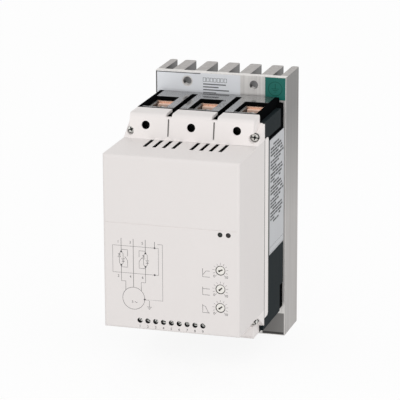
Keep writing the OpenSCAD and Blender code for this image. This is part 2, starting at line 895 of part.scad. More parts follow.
module control_spacers() {
    color("#d0cfca") housing() control_spacer_places() difference() {
        rod(0, 0, control_spacer_r, y_control, y_board - board_t);
        rod(0, 0, board_screw_r + close_fit, y_control - past, y_control + board_screw_l + past);
    }
}

module control_board() {
    color("#2e6b45") housing() difference() {
        block([-board_w / 2, y_control - board_t, control_foot], [board_w / 2, y_control, control_top]);
        control_spacer_places()
            rod(0, 0, board_screw_r + fit, y_control - board_t - past, y_control + past);
    }
}

module control_board_screws() {
    color("#c9cbcc") housing() control_spacer_places()
        board_screw(y_control - board_t);
}

module signal_relays() {
    color("#dcdcd6") housing() for (side = [-1, 1])
        translate([side * signal_relay_w - signal_relay_w / 2, y_control, control_foot + signal_relay_h])
            cube([signal_relay_w, signal_relay_d, signal_relay_h]);
}

// Flat lead with a plug at each end, between the two boards
module ribbon_link() {
    y_back = y_board - board_t;
    color("#9a9a98") housing() {
        block([-ribbon_w / 2, y_control, ribbon_z - ribbon_t / 2],
              [ribbon_w / 2, y_back, ribbon_z + ribbon_t / 2]);
        for (y = [y_control, y_back - 2 * ribbon_end])
            block([-ribbon_w / 2 - ribbon_plug, y, ribbon_z - ribbon_end / 2],
                  [ribbon_w / 2 + ribbon_plug, y + 2 * ribbon_end, ribbon_z + ribbon_end / 2]);
    }
}

// Control terminals

module control_terminal_block() {
    color("#2f6b4a") housing() difference() {
        block([-wire_block_w / 2, y_wire_block, wire_block_foot],
              [wire_block_w / 2, y_control - board_t, wire_block_top]);
        for (x = wire_places) {
            rod(x, wire_z, wire_screw_r + close_fit,
                y_wire_block - past, y_wire_block - wire_proud + wire_screw_l);
            block([x - wire_entry / 2, y_wire_block + wire_entry, wire_block_foot - past],
                  [x + wire_entry / 2, y_wire_block + 2 * wire_entry, wire_z]);
        }
    }
}

module control_terminal_screws() {
    y_head = y_wire_block - wire_proud;
    color("#b9bbba") housing() for (x = wire_places) difference() {
        rod(x, wire_z, wire_screw_r, y_head, y_head + wire_screw_l);
        block([x - 2 * wire_screw_r, y_head - past, wire_z - wire_screw_r / 6],
              [x + 2 * wire_screw_r, y_head + wire_screw_r / 2, wire_z + wire_screw_r / 6]);
    }
}

// Dials and lamps

module trimmer_bodies() {
    color("#2f5fa8") housing() for (z = dial_places) difference() {
        block([dial_x - trimmer_w / 2, y_trimmer, z - trimmer_w / 2],
              [dial_x + trimmer_w / 2, y_control - board_t, z + trimmer_w / 2]);
        rod(dial_x, z, shaft_r + close_fit, y_trimmer - past, y_trimmer + shaft_l + past);
    }
}

// Setting dial: a slotted head behind the face, on a shaft that turns in its trimmer
module setting_dial(i) {
    y_front = y_face + dial_sunk;
    slot_half = dial_d / 2 - dial_slot_end;
    color("#efe9db") housing() translate([dial_x, 0, dial_places[i]]) difference() {
        union() {
            rod(0, 0, dial_d / 2, y_front, y_trimmer - fit);
            rod(0, 0, shaft_r, y_trimmer - fit - past, y_trimmer + shaft_l);
        }
        rotate([0, dial_rest[i], 0])
            block([-dial_slot_w / 2, y_front - past, -slot_half],
                  [dial_slot_w / 2, y_front + dial_slot_depth, slot_half]);
    }
}

module start_ramp_dial() setting_dial(0);

module start_voltage_dial() setting_dial(1);

module stop_ramp_dial() setting_dial(2);

// Lamp: a light pipe from the board to the face, with a domed end
module lamp(i, tint) {
    dome_r = lamp_d;
    color(tint) housing() intersection() {
        rod(lamp_x + i * lamp_pitch, lamp_z, lamp_d / 2, y_face, y_control - board_t);
        union() {
            translate([lamp_x + i * lamp_pitch, y_face + dome_r, lamp_z]) sphere(dome_r);
            rod(lamp_x + i * lamp_pitch, lamp_z, lamp_d, y_face + dome_r, y_control);
        }
    }
}

module run_lamp() lamp(0, "#1f2a24");

module fault_lamp() lamp(1, "#241f22");

// Labels

module side_label() {
    y_back = y_plate - rim_d - fit;
    x = base_w / 2;
    color("#c3c6c8") housing()
        block([x, y_back - side_label_d, side_label_rise - side_label_h / 2],
              [x + label_t, y_back, side_label_rise + side_label_h / 2]);
}

// Plate labels fill the bare strip of the plate above the housing
module plate_label(x0, x1) {
    strip = [housing_rise + hood_top - label_tuck, sink_h / 2 - label_edge];
    difference() {
        block([x0, y_plate - label_t, strip[0]], [x1, y_plate, strip[1]]);
        rod(-mount_x / 2, mount_z / 2, mount_d / 2 + past, y_plate - past, y_plate + past);
    }
}

module top_label() {
    x0 = -sink_w / 2 + label_in;
    color("#cdd0d4") plate_label(x0, x0 + top_label_w);
}

module earth_label() {
    x1 = sink_w / 2 - label_edge;
    color("#005f50") plate_label(x1 - earth_label_w, x1);
}

heat_sink();
base_housing();
front_cover();
upper_terminal_block();
lower_terminal_block();
line_box(poles[0]);  // line_box_l1
line_box(poles[1]);  // line_box_l2
line_box(poles[2]);  // line_box_l3
load_box(poles[0]);  // load_box_t1
load_box(poles[1]);  // load_box_t2
load_box(poles[2]);  // load_box_t3
line_clamp_screws();
load_clamp_screws();
line_clamp_saddles();
load_clamp_saddles();
line_bar(poles[0]);  // line_bar_l1
line_bar(poles[2]);  // line_bar_l3
load_bar(poles[0]);  // load_bar_t1
load_bar(poles[2]);  // load_bar_t3
phase_bar_l2();
bar_insulator();
thyristor_module(poles[0]);  // thyristor_module_l1
thyristor_module(poles[2]);  // thyristor_module_l3
thermal_pads();
module_screws();
bar_screws();
bypass_relay(poles[0]);  // bypass_relay_l1
bypass_relay(poles[2]);  // bypass_relay_l3
bypass_posts();
power_board();
board_spacers();
board_screws();
board_capacitors();
control_board();
control_spacers();
control_board_screws();
signal_relays();
ribbon_link();
control_terminal_block();
control_terminal_screws();
trimmer_bodies();
start_ramp_dial();
start_voltage_dial();
stop_ramp_dial();
run_lamp();
fault_lamp();
cover_screws();
base_screws();
temperature_sensor();
side_label();
top_label();
earth_label();
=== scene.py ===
"""Finishes, print and small fittings of a three-pole soft starter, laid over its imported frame."""

import json
import logging
import math
from dataclasses import dataclass, field
from enum import Enum
from typing import Callable, Dict, List, Mapping, Optional, Sequence, Tuple, Union

import bmesh
import bpy
from mathutils import Matrix, Vector

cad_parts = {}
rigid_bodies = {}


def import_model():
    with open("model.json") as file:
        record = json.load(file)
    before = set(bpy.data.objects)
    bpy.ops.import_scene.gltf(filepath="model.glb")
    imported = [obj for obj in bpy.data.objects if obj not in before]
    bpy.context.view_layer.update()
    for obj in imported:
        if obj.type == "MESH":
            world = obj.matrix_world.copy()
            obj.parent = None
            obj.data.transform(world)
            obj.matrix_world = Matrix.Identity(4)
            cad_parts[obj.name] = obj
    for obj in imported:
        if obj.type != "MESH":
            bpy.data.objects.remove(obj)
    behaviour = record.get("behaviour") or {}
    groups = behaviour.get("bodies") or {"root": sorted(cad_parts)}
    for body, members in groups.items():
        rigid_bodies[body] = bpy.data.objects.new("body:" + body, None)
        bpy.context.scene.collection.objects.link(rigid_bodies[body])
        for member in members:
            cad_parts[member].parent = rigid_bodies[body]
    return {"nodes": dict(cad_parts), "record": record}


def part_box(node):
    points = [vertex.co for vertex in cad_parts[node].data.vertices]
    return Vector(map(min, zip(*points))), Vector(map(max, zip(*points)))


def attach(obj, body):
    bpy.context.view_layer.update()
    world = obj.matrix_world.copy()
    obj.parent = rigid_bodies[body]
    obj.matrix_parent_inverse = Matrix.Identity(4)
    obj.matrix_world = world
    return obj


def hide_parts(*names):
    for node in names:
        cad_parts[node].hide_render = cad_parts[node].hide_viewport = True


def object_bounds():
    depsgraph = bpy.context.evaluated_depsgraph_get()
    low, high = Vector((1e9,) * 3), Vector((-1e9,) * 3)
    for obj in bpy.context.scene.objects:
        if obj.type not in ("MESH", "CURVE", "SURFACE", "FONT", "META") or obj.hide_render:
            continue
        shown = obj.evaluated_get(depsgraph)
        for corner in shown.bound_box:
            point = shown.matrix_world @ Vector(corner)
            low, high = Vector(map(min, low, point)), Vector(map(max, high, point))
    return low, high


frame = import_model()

CAD_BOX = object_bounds()
MM = 0.001
ROOT_BODY = "starter"
LOG = logging.getLogger("soft_starter")
# Octaves of finer noise on drawn, sawn, worn and moulded faces
FINE = 3
# The value that soft noise swings about
NOISE_MIDDLE = 0.5

Colour = Tuple[float, float, float, float]
Value = Union["Socket", float, Sequence[float]]
Point = Tuple[float, float]
Triple = Tuple[float, float, float]
Oblong = Tuple[Point, Point]
Test = Callable[[Vector, Vector], bool]

WHITE: Colour = (1.0, 1.0, 1.0, 1.0)


def srgb(red: float, green: float, blue: float) -> Colour:
    """Turns a screen colour into the linear one that a shader takes.

    Args:
        red: Red, 0 to 255.
        green: Green, 0 to 255.
        blue: Blue, 0 to 255.

    Returns:
        The linear colour, opaque.
    """
    parts = [channel / 255 for channel in (red, green, blue)]
    linear = [part / 12.92 if part <= 0.04045 else ((part + 0.055) / 1.055) ** 2.4 for part in parts]
    return (*linear, 1.0)


def shade(colour: Colour, factor: float) -> Colour:
    """Makes a colour lighter or darker by a factor."""
    return (*(min(channel * factor, 1.0) for channel in colour[:3]), colour[3])


def outward(azimuth: float, elevation: float) -> Vector:
    """Gives a direction away from the part.

    Args:
        azimuth: Angle to the right of straight in front, in radians.
        elevation: Angle above the level, in radians.

    Returns:
        The direction, of length 1.
    """
    level = math.cos(elevation)
    return Vector((math.sin(azimuth) * level, -math.cos(azimuth) * level, math.sin(elevation)))


def axis_between(low: Vector, high: Vector) -> Triple:
    """Gives the place of the axis along Y through the middle of a box."""
    return (low.x + high.x) / 2, 0, (low.z + high.z) / 2


def oblong_line(low: Point, high: Point) -> List[Point]:
    """Gives a closed oblong line between two corners."""
    return [low, (high[0], low[1]), high, (low[0], high[1]), low]


class Socket:
    """A value in a node tree; an expression on it adds Math nodes."""

    def __init__(self, tree: "ShaderTree", output: bpy.types.NodeSocket) -> None:
        """Keeps the tree and the output that gives the value."""
        self.tree = tree
        self.output = output

    def math(self, operation: str, first: Value, second: Value = 0.0) -> "Socket":
        """Adds a Math node.

        Args:
            operation: What the node does.
            first: Its first value.
            second: Its second value.

        Returns:
            The node's result.
        """
        return self.tree.node("ShaderNodeMath", {"operation": operation}, {0: first, 1: second})

    def other(self, name: str) -> "Socket":
        """Gives another output of the same node."""
        return Socket(self.tree, self.output.node.outputs[name])

    def __add__(self, value: Value) -> "Socket":
        """Adds a value."""
        return self.math("ADD", self, value)

    __radd__ = __add__

    def __sub__(self, value: Value) -> "Socket":
        """Takes a value away."""
        return self.math("SUBTRACT", self, value)

    def __rsub__(self, value: Value) -> "Socket":
        """Takes this away from a value."""
        return self.math("SUBTRACT", value, self)

    def __mul__(self, value: Value) -> "Socket":
        """Multiplies by a value."""
        return self.math("MULTIPLY", self, value)

    __rmul__ = __mul__

    def __truediv__(self, value: Value) -> "Socket":
        """Divides by a value."""
        return self.math("DIVIDE", self, value)

    def __mod__(self, value: Value) -> "Socket":
        """Gives what is left over, never below nought."""
        return self.math("FLOORED_MODULO", self, value)

    def __lt__(self, value: Value) -> "Socket":
        """Gives 1 where this is less than a value."""
        return self.math("LESS_THAN", self, value)

    def __gt__(self, value: Value) -> "Socket":
        """Gives 1 where this is more than a value."""
        return self.math("GREATER_THAN", self, value)

    def __abs__(self) -> "Socket":
        """Gives the size without its sign."""
        return self.math("ABSOLUTE", self)

    def __or__(self, value: Value) -> "Socket":
        """Gives the larger of two masks."""
        return self.math("MAXIMUM", self, value)


class ShaderTree:
    """Node tree of one material or of the world."""

    level_slope: float = 0.7

    def __init__(self, owner: Union[bpy.types.Material, bpy.types.World]) -> None:
        """Empties the owner's tree.

        Args:
            owner: The material or world to dress.
        """
        owner.use_nodes = True
        self.nodes = owner.node_tree.nodes
        self.links = owner.node_tree.links
        self.nodes.clear()

    def node(self, kind: str, settings: Optional[Mapping] = None,
             inputs: Optional[Mapping] = None, output: Union[int, str] = 0) -> Socket:
        """Adds one node.

        Args:
            kind: The node's type.
            settings: Its settings; stops sets a ramp's places and colours.
            inputs: Values or sockets for its inputs, by name or number.
            output: The output to give back.

        Returns:
            That output.
        """
        node = self.nodes.new(kind)
        for key, value in (settings or {}).items():
            if key == "stops":
                self._set_stops(node.color_ramp, value)
            else:
                setattr(node, key, value)
        for key, value in (inputs or {}).items():
            if isinstance(value, Socket):
                self.links.new(value.output, node.inputs[key])
            else:
                node.inputs[key].default_value = value
        return Socket(self, node.outputs[output] if len(node.outputs) else None)

    @staticmethod
    def _set_stops(ramp: bpy.types.ColorRamp, stops: Sequence[Tuple[float, Colour]]) -> None:
        """Sets a ramp's stops, given as place and colour in rising order."""
        while len(ramp.elements) < len(stops):
            ramp.elements.new(1.0)
        for element, (position, colour) in zip(ramp.elements, stops):
            element.position = position
            element.color = colour

    def place(self) -> Socket:
        """Gives the Object coordinates."""
        return self.node("ShaderNodeTexCoord", output="Object")

    def axes(self) -> Tuple[Socket, Socket, Socket]:
        """Gives the Object coordinates one by one."""
        across = self.node("ShaderNodeSeparateXYZ", inputs={0: self.place()})
        return across, across.other("Y"), across.other("Z")

    def level(self) -> Socket:
        """Gives 1 on faces that look up or down."""
        normal = self.node("ShaderNodeTexCoord", output="Normal")
        return abs(self.node("ShaderNodeSeparateXYZ", inputs={0: normal}).other("Z")) > self.level_slope

    def noise(self, size: float, stretch: Sequence[float] = (1, 1, 1), detail: float = 2.0) -> Socket:
        """Adds soft noise.

        Args:
            size: Size of its patches, in metres.
            stretch: How many times longer the patches are along X, Y and Z.
            detail: Octaves of finer noise.

        Returns:
            The noise, mostly between 0.3 and 0.7.
        """
        scale = [1 / (size * length) for length in stretch]
        mapped = self.node("ShaderNodeMapping", inputs={"Vector": self.place(), "Scale": scale})
        return self.node("ShaderNodeTexNoise", inputs={"Vector": mapped, "Scale": 1.0, "Detail": detail})

    def mix(self, factor: Value, first: Value, second: Value) -> Socket:
        """Mixes two colours.

        Args:
            factor: 0 for the first colour, 1 for the second.
            first: The first colour.
            second: The second colour.

        Returns:
            The mixed colour.
        """
        settings = {"data_type": "RGBA"}
        return self.node("ShaderNodeMix", settings, {0: factor, 6: first, 7: second}, output=2)

    def mottled(self, factor: Value, colour: Colour, share: float) -> Socket:
        """Mixes a darker and a lighter shade of a colour.

        Args:
            factor: 0 for the darker shade, 1 for the lighter one.
            colour: The colour.
            share: How far the shades lie from it, as a share of it.

        Returns:
            The mixed colour.
        """
        return self.mix(factor, shade(colour, 1 - share), shade(colour, 1 + share))

    def stretch(self, value: Socket, low: float, high: float) -> Socket:
        """Stretches a range of values to 0 to 1.

        Args:
            value: The value.
            low: What becomes 0.
            high: What becomes 1.

        Returns:
            The stretched value, kept between 0 and 1.
        """
        return self.node("ShaderNodeMapRange", {"clamp": True}, {0: value, 1: low, 2: high, 3: 0.0, 4: 1.0})

    def relief(self, height: Socket, depth: float) -> Socket:
        """Gives a surface normal with relief.

        Args:
            height: Height of the relief, 0 to 1.
            depth: Depth of the relief, in metres.

        Returns:
            The normal.
        """
        return self.node("ShaderNodeBump", inputs={"Distance": depth, "Height": height})

    def surface(self, **inputs: Value) -> None:
        """Ends the tree in a Principled shader.

        Args:
            inputs: The shader's sockets, with _ for a space in their names.
        """
        named = {key.replace("_", " "): value for key, value in inputs.items()}
        shader = self.node("ShaderNodeBsdfPrincipled", inputs=named)
        self.node("ShaderNodeOutputMaterial", inputs={"Surface": shader})


@dataclass(frozen=True)
class Finish:
    """What every finish has."""

    name: str
    colour: Colour

    def material(self) -> bpy.types.Material:
        """Makes the finish's material."""
        material = bpy.data.materials.new(self.name)
        self.dress(ShaderTree(material))
        return material

    def dress(self, tree: ShaderTree) -> None:
        """Builds the finish's nodes."""
        raise NotImplementedError


@dataclass(frozen=True)
class MouldedPlastic(Finish):
    """Plastic from a spark-eroded mould: fine grain and faint flow marks."""

    roughness: float = 0.5
    specular: float = 0.4
    mottle: float = 0.02
    grain: float = 0.35 * MM
    grain_depth: float = 0.006 * MM
    grain_rough: float = 0.14
    flow: float = 24 * MM
    flow_run: Triple = (1, 1, 1.6)
    flow_rough: float = 0.08

    def dress(self, tree: ShaderTree) -> None:
        """Builds grain and flow marks."""
        grain = tree.noise(self.grain)
        flow = tree.noise(self.flow, self.flow_run, FINE)
        rough = self.roughness + self.grain_rough * (grain - NOISE_MIDDLE)
        tree.surface(
            Base_Color=self.tint(tree, flow),
            Roughness=rough + self.flow_rough * (flow - NOISE_MIDDLE),
            Specular_IOR_Level=self.specular,
            Normal=tree.relief(grain, self.grain_depth),
            **self.extras(tree),
        )

    def tint(self, tree: ShaderTree, flow: Socket) -> Socket:
        """Gives the colour, with flow marks."""
        return tree.mottled(flow, self.colour, self.mottle)

    def extras(self, tree: ShaderTree) -> Dict[str, Value]:
        """Gives the shader's sockets that only some plastics set."""
        return {}


@dataclass(frozen=True)
class InsideShadedPlastic(MouldedPlastic):
    """Moulded plastic with painted shade inside, from just behind its outer faces."""

    # Painted shade on the inside faces, where little light reaches
    inside_shade: Colour = srgb(24, 25, 26)
    half_width: float = 52 * MM
    front: float = -177.6 * MM
    back: float = -105.2 * MM
    foot: float = -64.5 * MM
    top: float = 71.5 * MM
    corner: float = 3 * MM

    def tint(self, tree: ShaderTree, flow: Socket) -> Socket:
        """Gives the plastic's colour, and the painted shade inside."""
        x, y, z = tree.axes()
        behind = (y > self.front) * (z > self.foot + self.corner) * (z < self.top - self.corner)
        below = (y > self.front + self.corner) * (z > self.foot) * (z < self.top)
        # Painted shade on the faces behind the outer walls
        inside = (abs(x) < self.half_width) * (y < self.back) * (behind | below)
        return tree.mix(inside, super().tint(tree, flow), self.inside_shade)


@dataclass(frozen=True)
class CoverPlastic(InsideShadedPlastic):
    """The cover's plastic with painted shade inside, painted light on its hoods and side lips, and painted
    shade in the hood grooves and in the groove before each lip.
    """

    # Factor of painted light on the hood faces and side lips
    painted_light: float = 1.12
    hood: float = 68.6 * MM
    brow: Tuple[float, float] = (84.8 * MM, 88 * MM)
    middle: float = 3.5 * MM
    lip_front: float = -105 * MM
    lip_half: float = 52.9 * MM
    lip_groove: Tuple[float, float] = (-105.8 * MM, -104.75 * MM)
    shadow: Colour = srgb(60, 59, 58)
    # Painted shade on the walls of the grooves in the hoods
    groove_shade: Colour = srgb(158, 155, 153)
    groove_place: float = 18.25 * MM
    groove_half: float = 0.56 * MM
    groove_front: float = -126 * MM
    groove_start: float = 71 * MM
    groove_end: float = 84.3 * MM

    def tint(self, tree: ShaderTree, flow: Socket) -> Socket:
        """Gives the colour with its painted shade inside, then painted light on hoods and lips and painted
        shade in the grooves.
        """
        x, y, z = tree.axes()
        across, height = abs(x), abs(z - self.middle)
        lit_lip = (across > self.lip_half) * (y > self.lip_front)
        lit_hood = (height > self.hood) * (1 - tree.stretch(height, *self.brow))
        plain = super().tint(tree, flow)
        # Painted light on the hood faces and side lips
        toned = tree.mix(lit_hood | lit_lip, plain, shade(self.colour, self.painted_light))
        # Painted shade on the hood groove walls, and a painted shadow line in the groove before each lip
        beside = (abs(across - self.groove_place) < self.groove_half) * (y > self.groove_front)
        cut = beside * (height > self.groove_start) * (height < self.groove_end)
        lip_shadow_line = (across > self.half_width) * (y > self.lip_groove[0]) * (y < self.lip_groove[1])
        return tree.mix(lip_shadow_line, tree.mix(cut, toned, self.groove_shade), self.shadow)


@dataclass(frozen=True)
class PolishedPlastic(MouldedPlastic):
    """Moulded plastic, its level faces polished to a mirror but for the outer and front walls."""

    polish: float = 1.0
    polish_half: float = 45.7 * MM
    polish_front: float = -102.5 * MM
    polish_tint: Colour = srgb(90, 90, 91)
    polish_roughness: float = 0.07
    polish_index: float = 2.4

    def extras(self, tree: ShaderTree) -> Dict[str, Value]:
        """Gives the polish on the level faces."""
        level = self.polished(tree)
        return {
            "Metallic": level,
            "Coat_Weight": self.polish * level,
            "Coat_Roughness": self.polish_roughness,
            "Coat_IOR": self.polish_index,
        }

    def tint(self, tree: ShaderTree, flow: Socket) -> Socket:
        """Gives the plastic's colour, and the polish's."""
        return tree.mix(self.polished(tree), super().tint(tree, flow), self.polish_tint)

    def polished(self, tree: ShaderTree) -> Socket:
        """Gives 1 where the plastic is polished."""
        across, back = tree.axes()[:2]
        return tree.level() * (abs(across) < self.polish_half) * (back > self.polish_front)


@dataclass(frozen=True)
class ExtrudedAluminium(Finish):
    """Extruded aluminium: die lines and bands, sawn ends, painted light on the plate and ends, painted shade
    in channels and bores, darker towards the top.
    """

    dark: Colour = srgb(158, 154, 151)
    # Painted light on the plate's front face and on the sawn ends
    lit_face_tones: Tuple[Colour, Colour] = (srgb(216, 213, 210), srgb(236, 233, 230))
    lit_face_back: float = -41.8 * MM
    # Painted darkening towards the top of the sides and fins, standing in for how the light falls there
    darkening: Colour = srgb(64, 62, 61)
    darkening_share: float = 0.72
    darkening_start: float = -10 * MM
    darkening_end: float = 80 * MM
    # Painted shade on the bore walls
    bore_shade: Colour = srgb(58, 56, 55)
    bore_place: Tuple[float, float] = (27.5 * MM, 100 * MM)
    bore_radius: float = 3.3 * MM
    # Painted shade between the fins, lifted towards their outer ends by channel_light
    channel: Colour = srgb(70, 68, 67)
    channel_half: float = 52.8 * MM
    channel_front: float = -35.8 * MM
    channel_back: float = -0.4 * MM
    channel_light: float = 0.35
    metallic: float = 0.45
    roughness: float = 0.36
    die_line: float = 0.3 * MM
    die_run: Triple = (1, 1, 500)
    band: float = 2.6 * MM
    band_run: Triple = (1, 1, 60)
    saw_line: float = 0.25 * MM
    saw_run: Triple = (60, 1, 60)
    mark_share: float = 0.4
    tone_range: Tuple[float, float] = (0.38, 0.62)
    mark_rough: float = 0.2
    end_rough: float = 0.1
    depth: float = 0.008 * MM

    def dress(self, tree: ShaderTree) -> None:
        """Builds die lines on the sides, saw marks on the ends, painted light on the plate and ends, and
        painted shade in the bores and channels.
        """
        end = tree.level()
        lines = tree.noise(self.die_line, self.die_run, FINE)
        bands = tree.noise(self.band, self.band_run, FINE)
        saw = tree.noise(self.saw_line, self.saw_run, FINE)
        marks = lines + end * (saw - lines)
        both = self.mark_share * marks + (1 - self.mark_share) * bands
        tone = tree.stretch(both, *self.tone_range)
        across, back, height = tree.axes()
        # Painted shade in the channels between the fins
        behind = (back > self.channel_front) * (back < self.channel_back)
        lit = self.channel_light * tree.stretch(back, self.channel_front, self.channel_back)
        channel = (abs(across) < self.channel_half) * behind * (1 - end) * (1 - lit)
        # Painted darkening towards the top
        darker_upwards = self.darkening_share * tree.stretch(height, self.darkening_start, self.darkening_end) * (1 - end)
        side = tree.mix(darker_upwards, tree.mix(tone, self.dark, self.colour), self.darkening)
        # Painted shade in the bores
        beside = abs(abs(across) - self.bore_place[0]) < self.bore_radius
        abreast = abs(abs(height) - self.bore_place[1]) < self.bore_radius
        bored = beside * abreast * (back < self.channel_front)
        skin = tree.mix(channel, tree.mix(bored, side, self.bore_shade), self.channel)
        # Painted light on the plate's face and the sawn ends
        face = (back < self.lit_face_back) | (end * (back < self.channel_front))
        tree.surface(
            Base_Color=tree.mix(face, skin, tree.mix(tone, *self.lit_face_tones)),
            Metallic=self.metallic,
            Roughness=self.roughness + self.mark_rough * (marks - NOISE_MIDDLE) + self.end_rough * end,
            Normal=tree.relief(marks, self.depth),
        )


@dataclass(frozen=True)
class PlatedMetal(Finish):
    """Plated steel or bare copper: fine scratches, patches of tarnish, painted shade in the depths."""

    tarnish: Colour = srgb(150, 146, 138)
    # Y ranges of painted shade, each with the colour of that shade
    depths: Tuple[Tuple[float, float, Colour], ...] = ()
    roughness: float = 0.28
    metallic: float = 1.0
    scratch: float = 0.12 * MM
    scratch_run: Triple = (12, 1, 2)
    scratch_rough: float = 0.2
    patch: float = 3 * MM
    patch_detail: float = 4
    patch_range: Tuple[float, float] = (0.5, 0.8)
    patch_share: float = 0.6
    patch_rough: float = 0.2
    depth: float = 0.001 * MM

    def dress(self, tree: ShaderTree) -> None:
        """Builds scratches and tarnish."""
        scratches = tree.noise(self.scratch, self.scratch_run, FINE)
        patches = tree.noise(self.patch, detail=self.patch_detail)
        darkening = self.patch_share * tree.stretch(patches, *self.patch_range)
        rough = self.roughness + self.scratch_rough * (scratches - NOISE_MIDDLE)
        tree.surface(
            Base_Color=self.tint(tree, darkening),
            Metallic=self.metallic,
            Roughness=rough + self.patch_rough * darkening,
            Normal=tree.relief(scratches, self.depth),
        )

    def tint(self, tree: ShaderTree, darkening: Socket) -> Socket:
        """Gives the plating's colour, with the tarnish and the painted shade in the depths."""
        tint = tree.mix(darkening, self.colour, self.tarnish)
        back = tree.axes()[1]
        # Painted shade on what lies in the given Y ranges
        for near, far, tone in self.depths:
            tint = tree.mix((back > near) * (back < far), tint, tone)
        return tint


@dataclass(frozen=True)
class TerminalSteel(PlatedMetal):
    """Plated steel of screws and terminal cages; the cages carry painted shade inside and are copper-tinted
    behind.
    """

    # Painted shade inside the cages: darker on the walls than on the level rims
    wall_shade: Colour = srgb(64, 63, 62)
    edge: Colour = srgb(172, 171, 168)
    glow: Colour = srgb(255, 214, 190)
    glow_front: float = -68.2 * MM
    cage_front: float = -104 * MM
    cage_start: float = 75 * MM
    middle: float = 3.5 * MM

    def tint(self, tree: ShaderTree, darkening: Socket) -> Socket:
        """Gives the plating's colour, and the cages' painted shade and copper tint."""
        back, height = tree.axes()[1:]
        caged = (abs(height - self.middle) > self.cage_start) * (back > self.cage_front)
        # Painted shade inside the cages, the walls darker than the rims
        rim = tree.mix(tree.level(), self.wall_shade, self.edge)
        cage = tree.mix(back > self.glow_front, rim, self.glow)
        return tree.mix(caged, super().tint(tree, darkening), cage)


@dataclass(frozen=True)
class CircuitBoard(Finish):
    """Green solder mask over copper tracks."""

    track: Colour = srgb(30, 120, 70)
    pitch: float = 2.54 * MM
    track_width: float = 0.8 * MM
    step: float = 14 * MM
    steps: float = 4
    lanes_a_step: float = 3
    track_rise: float = 0.03 * MM
    roughness: float = 0.3
    haze: float = 1 * MM
    haze_rough: float = 0.1

    def dress(self, tree: ShaderTree) -> None:
        """Builds tracks that run up the board and step across it."""
        across = tree.axes()[0]
        step = self.steps * tree.noise(self.step, detail=0)
        lane = (across + self.lanes_a_step * self.pitch * (step - step % 1)) % self.pitch
        track = lane < self.track_width
        tree.surface(
            Base_Color=tree.mix(track, self.colour, self.track),
            Roughness=self.roughness + self.haze_rough * tree.noise(self.haze),
            Normal=tree.relief(track, self.track_rise),
        )


@dataclass(frozen=True)
class RibbonLead(Finish):
    """Flat grey ribbon with one red edge lead."""

    first: Colour = srgb(170, 40, 36)
    pitch: float = 1.27 * MM
    first_edge: float = -10.8 * MM
    lead_rise: float = 0.4 * MM
    roughness: float = 0.45
    lane_rough: float = 0.2

    def dress(self, tree: ShaderTree) -> None:
        """Builds the leads side by side."""
        across = tree.axes()[0]
        lane = abs((across % self.pitch) / self.pitch - 0.5)
        tree.surface(
            Base_Color=tree.mix(across < self.first_edge, self.colour, self.first),
            Roughness=self.roughness + self.lane_rough * lane,
            Normal=tree.relief(1 - lane, self.lead_rise),
        )


@dataclass(frozen=True)
class LampLens(Finish):
    """Dark tinted lens of a lamp that is off."""

    swirl: float = 0.25 * MM
    uneven: float = 0.3
    roughness: float = 0.14
    swirl_rough: float = 0.08
    specular: float = 0.5
    depth: float = 0.004 * MM

    def dress(self, tree: ShaderTree) -> None:
        """Builds a glossy lens with a fine moulded swirl."""
        swirl = tree.noise(self.swirl, detail=1)
        tree.surface(
            Base_Color=tree.mottled(swirl, self.colour, self.uneven),
            Roughness=self.roughness + self.swirl_rough * swirl,
            Specular_IOR_Level=self.specular,
            Normal=tree.relief(swirl, self.depth),
        )


@dataclass(frozen=True)
class LabelFilm(Finish):
    """Printed label film: brushed under-colour, slightly glossy, with painted shade on the right side."""

    metallic: float = 0.25
    roughness: float = 0.4
    # Factor of painted shade on the label's right side
    side_shade: float = 1.0
    side_start: float = 52.8 * MM
    uneven: float = 0.06
    brush: float = 0.15 * MM
    brush_run: Triple = (40, 40, 1)
    brush_share: float = 0.5
    brush_rough: float = 0.15
    cloud: float = 20 * MM
    depth: float = 0.003 * MM

    def dress(self, tree: ShaderTree) -> None:
        """Builds the brushed film."""
        brushed = tree.noise(self.brush, self.brush_run)
        tone = self.brush_share * brushed + (1 - self.brush_share) * tree.noise(self.cloud)
        # Painted shade on the side label, beyond side_start
        tints = [tree.mottled(tone, colour, self.uneven)
                 for colour in (self.colour, shade(self.colour, self.side_shade))]
        tree.surface(
            Base_Color=tree.mix(tree.axes()[0] > self.side_start, *tints),
            Metallic=self.metallic,
            Roughness=self.roughness + self.brush_rough * (brushed - NOISE_MIDDLE),
            Normal=tree.relief(brushed, self.depth),
        )


@dataclass(frozen=True)
class PrintInk(Finish):
    """Pad-printed ink, a little uneven."""

    uneven: float = 0.12
    speck: float = 0.2 * MM
    roughness: float = 0.5
    speck_rough: float = 0.2
    specular: float = 0.3

    def dress(self, tree: ShaderTree) -> None:
        """Builds ink that covers unevenly."""
        cover = tree.noise(self.speck)
        tree.surface(
            Base_Color=tree.mottled(cover, self.colour, self.uneven),
            Roughness=self.roughness + self.speck_rough * (cover - NOISE_MIDDLE),
            Specular_IOR_Level=self.specular,
        )
